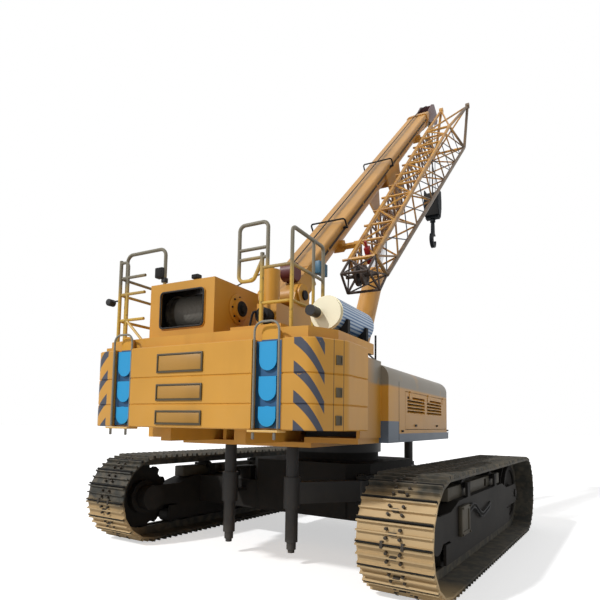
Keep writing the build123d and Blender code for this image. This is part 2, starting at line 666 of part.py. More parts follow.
def winch_housing():
    """Open-fronted box with a wide mouth in its rear wall and a gearbox boss on its right."""
    x0, x1, y0, y1, z0, z1 = HOUSING
    w = HOUSING_WALL
    box = block(x0, x1, y0, y1, z0, z1) - block(x0 + w, x1 - w, y0 + w, y1 + 5, z0 + w, z1 - w)
    box += mouth_cut(16.0, y0 - 14, y0 + 2)
    box -= mouth_cut(0.0, y0 - 20, y0 + w + 5)
    return box + rod_x(x1 - 2, x1 + 60, *DRUM_CENTRE, 135)


def hoist_drum():
    """Drum with its rope wound on, carried by stub shafts between the housing's walls."""
    x0, x1 = HOUSING[0] + HOUSING_WALL + SEAT, HOUSING[1] - HOUSING_WALL - SEAT
    drum = rod_x(x0, x1, *DRUM_CENTRE, DRUM_SHAFT_R)
    gap = 25.0
    drum += rod_x(x0 + gap, x1 - gap, *DRUM_CENTRE, DRUM_R)
    for x in (x0 + gap, x1 - gap - DRUM_FLANGE):
        drum += rod_x(x, x + DRUM_FLANGE, *DRUM_CENTRE, DRUM_FLANGE_R)
    return drum


def rear_deck():
    """Plates over the counterweight that carry the winch, the rails and the canister."""
    main = plate_z(both_sides(DECK_OUTLINE), SLAB_Z[-1], DECK_TOP)
    wing = block(-DECK_WING, 10 - DECK_OUTLINE[0][0], DECK_OUTLINE[1][1], DECK_OUTLINE[0][1],
                 DECK_TOP - 55, DECK_TOP)
    low_box = block(*LOW_BOX[:4], DECK_TOP - 5, LOW_BOX[4])
    valve = block(*VALVE[:4], DECK_TOP - 5, VALVE[4])
    x, y, r, top = ACCUMULATOR
    return fuse([main, wing, low_box, valve, rod_z(VALVE[4] - 5, top, x, y, r)])


def canister():
    x, y0, y1, z = CANISTER
    body = rod_y(y0 + 30, y1, x, z, CANISTER_R)
    disc = rod_y(y0, y0 + 35, x, z, CANISTER_R - 12)
    pipe = rod_y(y0 - 160, y0 + 10, x - 95, z + 5, 56)
    return fuse([body, disc, pipe])


def canister_cradle():
    """Base plate with two saddles under the canister."""
    x, y0, y1, z = CANISTER
    half = CANISTER_R + 12
    front = DECK_OUTLINE[0][1] - 20
    pieces = [block(x - half, x + half, y0 + 60, front, DECK_TOP, DECK_TOP + 20)]
    for y in (y0 + 160, front - 60):
        saddle = block(x - half, x + half, y - 30, y + 30, DECK_TOP + 15, z - 60)
        pieces.append(saddle - rod_y(y - 40, y + 40, x, z, CANISTER_R + SEAT))
    return fuse(pieces)


def left_rails():
    """Three corner rails, their posts and a tall grab loop that ends on the winch's roof."""
    x, y = RAIL_CORNER
    z0 = DECK_TOP
    front = DECK_OUTLINE[0][1] - 80
    inner_x = HOUSING[0] - 45
    loop_y = y + 100
    pieces = [rod_z(z0, RAIL_POST_TOP + 30, x, y, POST_TUBE),
              rod_z(z0, z0 + RAIL_HEIGHTS[-1] + 30, x, front, POST_TUBE)]
    for h in RAIL_HEIGHTS:
        pieces.append(tube_path([(inner_x, y, z0 + h), (x, y, z0 + h), (x, front, z0 + h)], RAIL_TUBE, 60))
    pieces.append(tube_path([(x + 130, y, z0), (x + 130, y, RAIL_POST_TOP), (x, y, RAIL_POST_TOP)],
                            RAIL_TUBE, 60))
    pieces.append(tube_path([(x, loop_y, z0), (x, loop_y, GRAB_TOP), (-930, loop_y, GRAB_TOP),
                             (-930, loop_y, HOUSING[5] + SEAT)], POST_TUBE))
    pieces.append(bar((x + 130, y, z0 + RAIL_HEIGHTS[0]), (inner_x, y, z0 + 60), RAIL_TUBE * 0.9, 8))
    return fuse(pieces)


def right_rails():
    """Grab loop and rails beside the winch, stepping round to the canister."""
    x0, x1, x2, x3 = GATE_X
    y0, y1, y2 = GATE_Y
    low, curl, mid, bar_low, bar_high, top, loop_top = GATE_Z
    t = RAIL_TUBE
    pieces = [tube_path([(x1, y0, mid + 90), (x1 - 110, y0, curl), (x0, y0, curl), (x0, y0, loop_top),
                         (x2, y0, loop_top), (x2, y0, mid)], POST_TUBE, 70)]
    pieces += [rod_x(x0, x2, y0, z, t) for z in (bar_low, bar_high)]
    pieces.append(rod_z(LOW_BOX[4], mid + 170, x1, y0, POST_TUBE + 2))
    for z in (low, mid):
        pieces.append(tube_path([(x1, y0, z), (x3, y0, z), (x3, y2, z)], t, 60))
    pieces.append(tube_path([(x3, y0, DECK_TOP), (x3, y0, top), (x3, y2, top), (x3, y2, DECK_TOP)],
                            POST_TUBE, 60))
    pieces.append(rod_z(DECK_TOP, top, x3, y1, RAIL_TUBE))
    return fuse(pieces)


def cab_outline():
    y0, y1 = CAB_Y
    z0, z1 = CAB_Z
    return [(y0, z0), (y1 - 180, z0), (y1, z0 + 420), (y1 - 60, z0 + 760), (y1 - 420, z1), (y0, z1)]


def inset_cab(d):
    y0, y1 = CAB_Y
    z0, z1 = CAB_Z
    return [(y0 + d, z0 + d), (y1 - 180 - d, z0 + d), (y1 - d, z0 + 420),
            (y1 - 60 - d, z0 + 760), (y1 - 420 - d, z1 - d), (y0 + d, z1 - d)]


CAB_LEFT = -SIDE_X
CAB_RIGHT = -CAB_X


def cab_shell():
    w = CAB_WALL
    shell = plate_x(cab_outline(), CAB_LEFT, CAB_RIGHT) - plate_x(inset_cab(w), CAB_LEFT + w, CAB_RIGHT - w)
    y0, y1 = CAB_Y
    z0, z1 = CAB_Z
    x0, x1 = CAB_LEFT, CAB_RIGHT
    shell -= block(x0 - 5, x0 + w + 5, CAB_DOOR_Y[0], CAB_DOOR_Y[1], *CAB_DOOR_Z)
    shell -= block(x0 - 5, x0 + w + 5, y0 + 120, CAB_DOOR_Y[0] - 110, z0 + 800, z1 - 140)
    shell -= block(x1 - w - 5, x1 + 5, y0 + 150, y1 - 620, z0 + 800, z1 - 140)
    shell -= block(x0 + 110, x1 - 110, y0 - 5, y0 + w + 5, z0 + 850, z1 - 140)
    shell -= block(x0 + 90, x1 - 90, y1 - 430, y1 + 50, z0 + 480, z1 - 120)
    rails = []
    for z in (CAB_DOOR_Z[1] + CAB_DOOR_LAP + SEAT, CAB_DOOR_Z[0] - CAB_DOOR_LAP - SEAT - 24):
        rails.append(block(x0 - CAB_DOOR_THICK - 8, x0, y0 + 30, CAB_DOOR_Y[1] + 45, z, z + 24))
    return fuse([shell] + rails)


def cab_door():
    x1 = CAB_LEFT - 6
    x0 = x1 - CAB_DOOR_THICK
    lap = CAB_DOOR_LAP
    y0, y1 = CAB_DOOR_Y
    z0, z1 = CAB_DOOR_Z
    door = block(x0, x1, y0 - lap, y1 + lap, z0 - lap, z1 + lap)
    return door - block(x0 - 5, x1 + 5, y0 + 60, y1 - 60, z0 + 620, z1 - 70)


def cab_door_glass():
    x = CAB_LEFT - 6 - CAB_DOOR_THICK / 2
    return block(x - GLASS / 2, x + GLASS / 2, CAB_DOOR_Y[0] + 60, CAB_DOOR_Y[1] - 60,
                 CAB_DOOR_Z[0] + 620, CAB_DOOR_Z[1] - 70)


def cab_windows():
    """Glass set flush in the cab's window cuts."""
    w, g = CAB_WALL, GLASS
    y0, y1 = CAB_Y
    z0, z1 = CAB_Z
    x0, x1 = CAB_LEFT, CAB_RIGHT
    mid = w / 2
    left = block(x0 + mid - g, x0 + mid, y0 + 120, CAB_DOOR_Y[0] - 110, z0 + 800, z1 - 140)
    right = block(x1 - mid, x1 - mid + g, y0 + 150, y1 - 620, z0 + 800, z1 - 140)
    rear = block(x0 + 110, x1 - 110, y0 + mid, y0 + mid + g, z0 + 850, z1 - 140)
    front = plate_x(inset_cab(mid), x0 + 90, x1 - 90) - plate_x(inset_cab(mid + g), x0 + 80, x1 - 80)
    front &= block(x0 + 90, x1 - 90, y1 - 430, y1 + 50, z0 + 480, z1 - 120)
    return [left, right, rear, front]


def cab_seat():
    x = (CAB_LEFT + CAB_RIGHT) / 2
    z = CAB_Z[0] + CAB_WALL
    base = block(x - 170, x + 170, 720, 1060, z, z + 330)
    cushion = block(x - 250, x + 250, 660, 1160, z + 330, z + 470)
    back = block(x - 240, x + 240, 560, 680, z + 380, z + 1080)
    return fuse([base, cushion, back])


def cab_console():
    x = (CAB_LEFT + CAB_RIGHT) / 2
    z = CAB_Z[0] + CAB_WALL
    post = block(x - 60, x + 60, 1560, 1680, z, z + 620)
    desk = block(x - 190, x + 190, 1540, 1700, z + 600, z + 740)
    return fuse([post, desk])


def build_superstructure():
    save("turntable_frame", turntable_frame())
    save("hinge_pins", *hinge_pins())
    for name, z0, z1 in zip(SLAB_NAMES, SLAB_Z[:-1], SLAB_Z[1:]):
        save(f"counterweight_{name}", counterweight_slab(z0, z1))
    save("counterweight_hangers", *hangers())
    save("engine_hood", engine_hood())
    save("hood_door", hood_door())
    save("engine_block", block(*ENGINE))
    for name, y0, y1, top in TANKS:
        save(name, block(-SIDE_X, -TANK_X, y0, y1, FLOOR_Z, top))
    save("winch_housing", winch_housing())
    save("hoist_drum", hoist_drum())
    save("rear_deck", rear_deck())
    save("exhaust_canister", canister())
    save("canister_cradle", canister_cradle())
    save("handrails", left_rails(), right_rails())
    save("cab_shell", cab_shell())
    save("cab_windows", *cab_windows())
    save("cab_door", cab_door())
    save("cab_door_glass", cab_door_glass())
    save("cab_seat", cab_seat())
    save("cab_console", cab_console())


# ================================================================ boom
def section_face(width, height, top_r):
    """Boom section outline: flat top with rounded corners, half-round underside."""
    w, top = width / 2, height / 2
    low = min(w - top, UNDERSIDE_SHARE * height)
    k = top_r * (1 - sqrt(0.5))
    lines = [Line((-w + top_r, top), (w - top_r, top)),
             ThreePointArc((w - top_r, top), (w - k, top - k), (w, top - top_r)),
             Line((w, top - top_r), (w, low)),
             ThreePointArc((w, low), (0, -height / 2), (-w, low)),
             Line((-w, low), (-w, top - top_r)),
             ThreePointArc((-w, top - top_r), (-w + k, top - k), (-w + top_r, top))]
    return make_face(Wire(lines))


def section_bar(width, height, top_r, y0, y1):
    """Solid bar of a boom section from y0 to y1 of the boom frame."""
    plane = Plane(origin=(0, y0, 0), x_dir=(-1, 0, 0), z_dir=(0, 1, 0))
    return extrude(plane * section_face(width, height, top_r), amount=y1 - y0, dir=(0, 1, 0))


def section_size(n):
    """Outside width, height and corner radius of the nth section, 0 for the base."""
    step = 2 * (SECTION_WALL + SECTION_GAP) * n
    return SECTION_WIDTH - step, SECTION_HEIGHT - step, max(8.0, SECTION_TOP_R - step / 4)


def hollow_section(n, y0, y1):
    """Tube with a raised collar at its front end."""
    w, h, r = section_size(n)
    length, lift = COLLAR
    tube = section_bar(w, h, r, y0, y1)
    tube += section_bar(w + 2 * lift, h + 2 * lift, r + lift, y1 - length, y1)
    return tube


def section_bore(n, y0, y1):
    w, h, r = section_size(n)
    t = SECTION_WALL
    return section_bar(w - 2 * t, h - 2 * t, max(6.0, r - t), y0 - 5, y1 + 5)


def wear_pads(n, front):
    """Pads at the front of a section's bore on which the next section slides."""
    w, h, r = section_size(n)
    nw, nh, nr = section_size(n + 1)
    t = SECTION_WALL
    ring = section_bar(w - 2 * t + 2, h - 2 * t + 2, max(6.0, r - t), front - 150, front - 30)
    ring -= section_bar(nw + 2 * SEAT, nh + 2 * SEAT, nr, front - 160, front - 20)
    keep = block(-nw / 4, nw / 4, front - 150, front - 30, -h, h)
    keep += block(-w, w, front - 150, front - 30, -h / 8, h / 8)
    return ring & keep


def section_end(n):
    return BASE_END + NEST_STEP * n


def foot_top(y):
    """Height of the boom foot's upper side at a distance from its pin."""
    return FOOT_BOSS_R + (SECTION_HEIGHT / 2 - 4 - FOOT_BOSS_R) * y / (BASE_START + 60)


def boom_base():
    """Base section with its foot and the luffing cylinder's lug plates."""
    w, h, _ = section_size(0)
    half = w / 2 - 2
    end = BASE_START + 60
    foot = plate_x([(0, foot_top(0)), (end, foot_top(end)), (end, 45 - h / 2), (0, -FOOT_BOSS_R)], -half, half)
    foot += rod_x(-half, half, 0, 0, FOOT_BOSS_R)
    tube = hollow_section(0, BASE_START, BASE_END)
    ly, lz = LUFF_LUG
    plates = [block(4 - w / 2, w / 2 - 4, ly + 330, ly + 360, -h / 2 - 240, 0)]
    for side in (-1, 1):
        x0, x1 = sorted((side * (w / 2 - 4), side * (w / 2 + LUG_PLATE)))
        plates.append(plate_x([(ly - 520, h / 2 - 115), (ly + 520, h / 2 - 115), (ly + 400, -h / 2 - 200),
                               (ly + 130, lz), (ly + 60, lz - 110), (ly - 60, lz - 110), (ly - 130, lz),
                               (ly - 400, -h / 2 - 200)], x0, x1))
        plates.append(rod_x(side * (w / 2 + LUG_PLATE - 2), side * (w / 2 + LUG_PLATE + 25), ly, lz, 80))
    bore = section_bore(0, end, BASE_END)
    boom = fuse([foot, tube] + plates) - bore
    boom += wear_pads(0, BASE_END)
    return boom - rod_x(-w, w, 0, 0, FOOT_PIN_R + RUN)


def rope_guides():
    """Hoops across the boom's top, wider than the section, on short lugs from its sides."""
    w, h, _ = section_size(0)
    low, top = h / 2 - 80, h / 2 + GUIDE_LIFT
    x = GUIDE_HALF
    out = []
    for y in GUIDES:
        hoop = tube_path([(-x, y, low), (-x, y, top), (x, y, top), (x, y, low)], GUIDE_TUBE, 40)
        for side in (-1, 1):
            hoop += block(side * (w / 2 + SEAT), side * (x + GUIDE_TUBE), y - 20, y + 20, low - 25, low + 5)
        out.append(hoop)
    return out


def boom_head():
    """Side plates at the tip that carry the sheaves."""
    w4, h4, _ = section_size(3)
    start = section_end(3)
    sy, sz = BOOM_REACH, -SHEAVE_DROP
    pieces = []
    for side in (-1, 1):
        x0, x1 = sorted((side * (w4 / 2 - HEAD_PLATE), side * w4 / 2))
        plate = plate_x([(start, h4 / 2), (sy - 200, h4 / 2 + 60), (sy + 60, h4 / 2),
                         (sy + 210, sz + 60), (sy + 190, sz - 130),
                         (sy + 40, sz - 190), (sy - 120, sz - 150), (start, -h4 / 2)], x0, x1)
        pieces.append(plate)
    pieces.append(block(-w4 / 2, w4 / 2, start, start + 60, -h4 / 2, h4 / 2))
    pieces.append(block(-w4 / 2, w4 / 2, sy - 230, sy - 190, -60, h4 / 2 + 40))
    head = fuse(pieces)
    return head - rod_x(-200, 200, sy, sz, 45 + RUN)


def head_inner():
    """Half width of the row of sheaves between the head's plates."""
    return section_size(3)[0] / 2 - HEAD_PLATE - 6


def head_sheaves():
    """Row of grooved sheaves on one axle."""
    sy, sz = BOOM_REACH, -SHEAVE_DROP
    w4 = section_size(3)[0]
    inner = head_inner()
    pitch = 2 * inner / SHEAVE_COUNT
    solid = rod_x(-w4 / 2 + 5, w4 / 2 - 5, sy, sz, 45)
    solid += rod_x(-inner, inner, sy, sz, SHEAVE_R - GROOVE)
    for i in range(SHEAVE_COUNT + 1):
        x = -inner + i * pitch
        x0, x1 = max(-inner, x - 6), min(inner, x + 6)
        solid += rod_x(x0, x1, sy, sz, SHEAVE_R)
    return solid


def jib_frame(share):
    """Four chord corners of the jib at a share of its length, from the upper left round."""
    rows = [a + (b - a) * share for a, b in zip(*JIB_SECTIONS)]
    upper_y, lower_y, x0, x1, x2, x3, upper_z, lower_z = rows
    return [(x0, upper_y, upper_z), (x1, upper_y, upper_z), (x2, lower_y, lower_z), (x3, lower_y, lower_z)]


def jib_truss():
    """Tapered lattice: four chords, end frames, rungs across its upper face and zigzag lacing."""
    members = [bar(a, b, CHORD_R, 8) for a, b in zip(jib_frame(0.0), jib_frame(1.0))]
    frames = [jib_frame(i / JIB_BAYS) for i in range(JIB_BAYS + 1)]
    for corners in (frames[0], frames[-1]):
        for i in range(4):
            members.append(bar(corners[i], corners[(i + 1) % 4], CHORD_R * 0.8))
    for k, (near, far) in enumerate(zip(frames[:-1], frames[1:])):
        x, y, z = near[0]
        members.append(bar((x - JIB_STUB, y, z), near[1], RUNG_R))
        for i in range(4):
            j = (i + 1) % 4
            a, b = (near[i], far[j]) if (k + i) % 2 else (near[j], far[i])
            members.append(bar(a, b, LACE_R))
    return members


def jib_legs():
    """The forked legs that pin to the boom head when the jib is in use, with their cross lacing."""
    upper_left, upper_right, lower_right, lower_left = jib_frame(1.0)
    left, right = JIB_TIPS
    legs = [bar(a, b, CHORD_R, 8) for a, b in ((upper_left, left), (lower_left, left),
                                               (upper_right, right), (lower_right, right))]
    legs += [rod_x(x - 45, x + 45, y, z, 70) for x, y, z in JIB_TIPS]
    legs += [bar(a, b, LACE_R * 1.4)
             for a, b in ((upper_left, right), (upper_right, left), (lower_left, right))]
    return legs


def jib_brackets():
    """Pads welded to the base section that hold the stowed jib."""
    w, h, r = section_size(0)
    out = []
    for share in JIB_HOLD:
        _, y, z = jib_frame(share)[0]
        pad = block(w / 4, w / 2 + JIB_PAD, y - 70, y + 70, z - 70, z + 70)
        out.append(pad - section_bar(w + 2 * SEAT, h + 2 * SEAT, r + SEAT, y - 80, y + 80))
    return out


def jib_arms():
    """Short arms of the truss that rest against the pads on the boom."""
    start = SECTION_WIDTH / 2 + JIB_PAD + SEAT
    out = []
    for share in JIB_HOLD:
        x_in, y, z = jib_frame(share)[0]
        out.append(block(start, x_in, y - 45, y + 45, z - 45, z + 20))
    return out


def hose_reel():
    """Reel on a low stand on top of the boom's foot."""
    y, z, r = REEL
    w = SECTION_WIDTH / 2
    stand = plate_x([(y - 60, foot_top(y - 60) + SEAT), (y + 60, foot_top(y + 60) + SEAT),
                     (y + 60, z), (y - 60, z)], w - 170, w - 30)
    return stand + rod_x(w - 200, w - 4, y, z, r)


def build_boom():
    save("boom_base_section", on_boom(boom_base()))
    save("rope_guides", *[on_boom(g) for g in rope_guides()])
    for n in (1, 2, 3):
        start = NEST_START + 100 * n
        tube = hollow_section(n, start, section_end(n)) - section_bore(n, start, section_end(n))
        if n < 3:
            tube += wear_pads(n, section_end(n))
        save(f"boom_section_{n + 1}", on_boom(tube))
    save("boom_head", on_boom(boom_head()))
    save("head_sheaves", on_boom(head_sheaves()))
    save("jib_truss", on_boom(fuse(jib_truss() + jib_legs() + jib_arms())))
    save("jib_brackets", *[on_boom(b) for b in jib_brackets()])
    save("hose_reel", on_boom(hose_reel()))


# ================================================================ luffing cylinder
def build_luffing_cylinder():
    fy, fz = LUFF_FOOT
    ey, ez = boom_point(*LUFF_LUG)
    length = hypot(ey - fy, ez - fz)
    place = Location((0, fy, fz), (degrees(atan2(ez - fz, ey - fy)), 0, 0))
    gland, rim = GLAND
    eye_half = SECTION_WIDTH / 2 - FREE
    barrel = fuse([rod_x(-BARREL_R, BARREL_R, 0, 0, LUFF_FOOT_R), rod_y(60, BARREL_LENGTH, 0, 0, BARREL_R),
                   rod_y(BARREL_LENGTH - gland, BARREL_LENGTH, 0, 0, BARREL_R + rim)])
    barrel -= rod_y(BARREL_FLOOR, BARREL_LENGTH + 5, 0, 0, ROD_R + RUN)
    barrel -= rod_x(-BARREL_R - 10, BARREL_R + 10, 0, 0, LUFF_FOOT_PIN_R + RUN)
    rod = fuse([rod_y(BARREL_LENGTH - ROD_INSIDE, length - 40, 0, 0, ROD_R),
                rod_x(-eye_half, eye_half, length, 0, LUFF_EYE_R)])
    save("luff_cylinder_barrel", place * barrel)
    save("luff_cylinder_rod", place * rod)


# ================================================================ hook block
def build_hook_block():
    """Block, its rope falls and the hook, under the right pair of the head's sheaves."""
    sy, sz = boom_point(BOOM_REACH, -SHEAVE_DROP)
    z = sz - HOOK_BLOCK_DROP
    pitch = 2 * head_inner() / SHEAVE_COUNT
    x = pitch
    low, top = BLOCK_Z
    outline = [(150, top), (190, 80), (190, -140), (110, low)]
    plate = [(sy + dy, z + dz) for dy, dz in outline] + [(sy - dy, z + dz) for dy, dz in reversed(outline)]
    pieces = [plate_x(plate, x - BLOCK_HALF, x - BLOCK_HALF + BLOCK_PLATE),
              plate_x(plate, x + BLOCK_HALF - BLOCK_PLATE, x + BLOCK_HALF)]
    inside = BLOCK_HALF - BLOCK_PLATE + 2
    pieces.append(rod_x(x - inside, x + inside, sy, z, SHEAVE_R - GROOVE))
    pieces += [rod_x(x + i * pitch - 6, x + i * pitch + 6, sy, z, SHEAVE_R) for i in (-1, 0, 1)]
    pieces.append(block(x - inside, x + inside, sy - 90, sy + 90, z + TRUNNION_Z, z + low + 30))
    save("hook_block", fuse(pieces))
    reach = SHEAVE_R - GROOVE + ROPE_R + SEAT
    save("rope_falls", *[rod_z(z, sz, x + i * pitch / 2, sy + side * reach, ROPE_R)
                         for i in (-1, 1) for side in (-1, 1)])
    shank_top = z + TRUNNION_Z - SEAT
    centre = shank_top - HOOK_DROP
    shank = rod_z(shank_top - 160, shank_top, x, sy, 48) + rod_z(shank_top - 95, shank_top - 30, x, sy, 72)
    curl = Plane.YZ.offset(x) * (Pos(sy, centre) * (Circle(HOOK_R) - Pos(25, 18) * Circle(HOOK_BORE)))
    body = extrude(curl, amount=45, both=True)
    body -= block(x - 60, x + 60, sy + 40, sy + 300, centre + 12, centre + 150)
    neck = plate_x([(sy - 72, centre + 150), (sy + 72, centre + 150), (sy + 46, shank_top - 150),
                    (sy - 46, shank_top - 150)], x - 42, x + 42)
    save("hook", fuse([shank, neck, body]))


build_undercarriage()
build_superstructure()
build_boom()
build_luffing_cylinder()
build_hook_block()
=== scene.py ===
# %% [markdown]
# # A crawler crane with a telescopic boom
# The solids of the crane come from its CAD model. This lesson paints them,
# adds the small fittings that a fitter would bolt on, and lights the result.
# Every length is in metres, +Y points forward along the tracks, and the origin
# is on the ground under the axis that the upper works turn about.

# %% Load the solids
import bpy
import bmesh
import json
from math import asin, atan2, cos, pi, radians, sin
from mathutils import Matrix, Vector


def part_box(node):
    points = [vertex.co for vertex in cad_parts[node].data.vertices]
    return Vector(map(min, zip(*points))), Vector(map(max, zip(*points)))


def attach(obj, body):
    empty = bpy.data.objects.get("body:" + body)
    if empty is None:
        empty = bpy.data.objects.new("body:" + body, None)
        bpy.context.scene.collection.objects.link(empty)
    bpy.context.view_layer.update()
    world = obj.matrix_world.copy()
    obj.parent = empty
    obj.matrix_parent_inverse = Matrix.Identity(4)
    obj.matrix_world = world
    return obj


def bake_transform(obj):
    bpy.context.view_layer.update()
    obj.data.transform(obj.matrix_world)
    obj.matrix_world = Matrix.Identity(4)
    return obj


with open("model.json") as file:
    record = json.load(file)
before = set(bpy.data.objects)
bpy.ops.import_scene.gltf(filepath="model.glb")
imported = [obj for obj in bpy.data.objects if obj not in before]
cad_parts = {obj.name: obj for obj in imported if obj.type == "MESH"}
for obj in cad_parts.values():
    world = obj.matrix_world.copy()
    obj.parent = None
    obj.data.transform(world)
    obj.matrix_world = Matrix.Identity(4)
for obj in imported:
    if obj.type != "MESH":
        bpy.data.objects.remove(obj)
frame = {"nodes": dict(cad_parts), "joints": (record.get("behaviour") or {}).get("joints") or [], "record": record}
scene = bpy.context.scene
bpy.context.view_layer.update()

# %% [markdown]
# ## Where things are
# A fitting is placed from the solid that carries it, so that it stays right
# if the solid changes. The boom is a slanted frame of its own: a point on it is
# given by how far along the boom it is and how far above its middle line.

# %% Places on the crane
JOINTS = {joint["name"]: joint for joint in frame["joints"]}
BOOM_FOOT = Vector(JOINTS["boom_luff"]["pos_m"])
BOOM_ALONG = Vector(JOINTS["boom_extend_2"]["axis"]).normalized()
BOOM_UP = Vector((1, 0, 0)).cross(BOOM_ALONG)


def on_boom(x, along, above):
    """A point of the boom's own frame, in the crane's frame."""
    return BOOM_FOOT + Vector((x, 0, 0)) + BOOM_ALONG * along + BOOM_UP * above


print("boom leans", round(asin(BOOM_ALONG.z) * 180 / pi, 1), "degrees")

# %% [markdown]
# ## Writing shader maths as sums
# A pattern is easier to read as `dust * 0.5 + 0.2` than as a row of nodes.
# This small class wraps one output socket, and each sum on it adds a Math node.
# Any other node comes from its one method `node`.

# %% A socket that can be used in sums
class Wire:
    """One output socket of a material's node tree."""

    def __init__(self, tree, socket):
        self.tree, self.socket = tree, socket

    def node(self, kind, settings=None, inputs=None, output=0):
        """Add a node: its settings first, then the values or links of its sockets."""
        made = self.tree.nodes.new(kind)
        for name, value in (settings or {}).items():
            if name == "stops":
                ramp = made.color_ramp
                while len(ramp.elements) < len(value):
                    ramp.elements.new(0.5)
                for element, (place, color) in zip(ramp.elements, value):
                    element.position, element.color = place, (*color, 1)
            else:
                setattr(made, name, value)
        for key, value in (inputs or {}).items():
            if isinstance(value, Wire):
                self.tree.links.new(value.socket, made.inputs[key])
            else:
                made.inputs[key].default_value = value
        return Wire(self.tree, made.outputs[output])

    def maths(self, operation, a, b, clamp=False):
        return self.node("ShaderNodeMath", {"operation": operation, "use_clamp": clamp}, {0: a, 1: b})

    def __add__(self, other):
        return self.maths("ADD", self, other)

    __radd__ = __add__

    def __sub__(self, other):
        return self.maths("SUBTRACT", self, other)

    def __rsub__(self, other):
        return self.maths("SUBTRACT", other, self)

    def __mul__(self, other):
        return self.maths("MULTIPLY", self, other)

    __rmul__ = __mul__

    def over(self, level, soft=0.02):
        """0 below a level, 1 above it, with a soft edge."""
        return self.maths("MULTIPLY", self.maths("SUBTRACT", self, level - soft / 2), 1 / soft, clamp=True)

    def mix(self, low, high):
        """A colour between two colours, by this value."""
        return self.node("ShaderNodeMix", {"data_type": "RGBA"}, {0: self, 6: low, 7: high}, output=2)

    def axis(self, index):
        """One coordinate of a vector."""
        return self.node("ShaderNodeSeparateXYZ", inputs={0: self}, output=index)

    def noise(self, scale, detail=3.0, stretch=(1, 1, 1)):
        """Cloudy values from 0 to 1, stretched along the axes."""
        placed = self.node("ShaderNodeVectorMath", {"operation": "MULTIPLY"}, {0: self, 1: stretch})
        return self.node("ShaderNodeTexNoise", inputs={"Vector": placed, "Scale": scale, "Detail": detail})


def color(r, g, b):
    """A colour as it looks on screen (0 to 255), as the linear colour that shaders use."""
    return tuple(((c / 255 + 0.055) / 1.055) ** 2.4 if c > 10 else c / 3294.6 for c in (r, g, b)) + (1.0,)


MATERIALS = {}


def finish_of(name, base, roughness=0.5, metallic=0.0, pattern=None, bump=None, bump_depth=0.002, **sockets):
    """A material with one shader. pattern(coords, base) may return a colour wire and a roughness wire."""
    made = bpy.data.materials.new(name)
    made.use_nodes = True
    tree = made.node_tree
    shader = tree.nodes["Principled BSDF"]
    shader.inputs["Base Color"].default_value = base
    shader.inputs["Roughness"].default_value = roughness
    shader.inputs["Metallic"].default_value = metallic
    for socket, value in sockets.items():
        shader.inputs[socket.replace("_", " ")].default_value = value
    coords = Wire(tree, tree.nodes.new("ShaderNodeTexCoord").outputs["Object"])
    if pattern:
        tint, rough = pattern(coords, base)
        tree.links.new(tint.socket, shader.inputs["Base Color"])
        if rough:
            tree.links.new(rough.socket, shader.inputs["Roughness"])
    if bump:
        height = bump(coords)
        normal = height.node("ShaderNodeBump",
                             inputs={"Strength": 0.6, "Distance": bump_depth, "Height": height})
        tree.links.new(normal.socket, shader.inputs["Normal"])
    MATERIALS[name] = made
    return made


print("shader helpers ready")

# %% [markdown]
# ## Paint that has stood outdoors
# Crane paint is never one flat colour. Broad clouds make it fade a little
# unevenly, thin upright streaks come from rain, and dust settles low down.
# All three are noise at different sizes, read from the object's own coordinates,
# so the pattern stays on the piece when it moves.

# %% Patterns for paint, dust and steel
DUST = color(178, 158, 128)
SOOT = color(38, 34, 30)


def weathered(fade=0.16, streaks=0.25, dust_top=1.6, dust=0.35, spots=0.0, dull=0.32):
    """A paint pattern: uneven fading, rain streaks, and dust that thins out upwards."""
    def pattern(coords, base):
        paler = tuple(min(1.0, c * 1.18 + 0.015) for c in base[:3]) + (1.0,)
        darker = tuple(c * 0.62 for c in base[:3]) + (1.0,)
        cloud = coords.noise(0.9, 4.0)
        tint = ((cloud - 0.5) * (fade * 6) + 0.5).mix(darker, paler)
        rain = coords.noise(3.0, 3.0, (1, 1, 0.12)).over(0.60, 0.16) * streaks
        tint = rain.mix(tint, darker)
        height = coords.axis(2)
        low = (dust_top - height).over(0.0, 1.2) * coords.noise(5.0, 5.0) * (2 * dust)
        tint = low.mix(tint, DUST)
        if spots:
            tint = (coords.noise(18.0, 6.0).over(0.66, 0.05) * spots).mix(tint, SOOT)
        return tint, cloud * 0.25 + dull
    return pattern


def worn_steel(dark, light, dust=0.5):
    """Bare steel: two greys in blotches with dust in the hollows."""
    def pattern(coords, base):
        blotch = coords.noise(2.6, 6.0)
        tint = blotch.over(0.5, 0.45).mix(dark, light)
        tint = (coords.noise(9.0, 6.0).over(0.52, 0.22) * dust).mix(tint, DUST)
        return tint, blotch * 0.3 + 0.45
    return pattern


print("patterns ready")

# %% [markdown]
# ## The hazard stripes
# The rear corners of the counterweight carry dark slanted bands. They are
# painted on, so they are a pattern and not a shape: the height plus the
# distance round the corner is cut into equal steps, and only the corner
# panels let the pattern through.

# %% Stripes on the counterweight's corners
WEIGHT_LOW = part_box("counterweight_lower")[0]
WEIGHT_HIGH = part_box("counterweight_upper")[1]
STRIPE_PITCH = 0.268
STRIPE_SHARE = 0.42      # dark share of each step
STRIPE_WAY = (0.440, 0.757)      # from the pocket round the corner, along the surface
STRIPE_TOP = 2.285       # where one dark band starts at the first of those
SEAM_WAYS = (0.862, 0.979)       # upright seams of the corner strip
CORNER_X, CORNER_Y, CORNER_FROM = 0.925, 0.644, 1.587       # way round the corner: shares of x and y, start
FALL, FALL_GROWTH = 0.7, 1.5     # slope of the bands at the pocket, and how it steepens
YELLOW = color(212, 151, 40)
STRIPE = color(58, 62, 76)


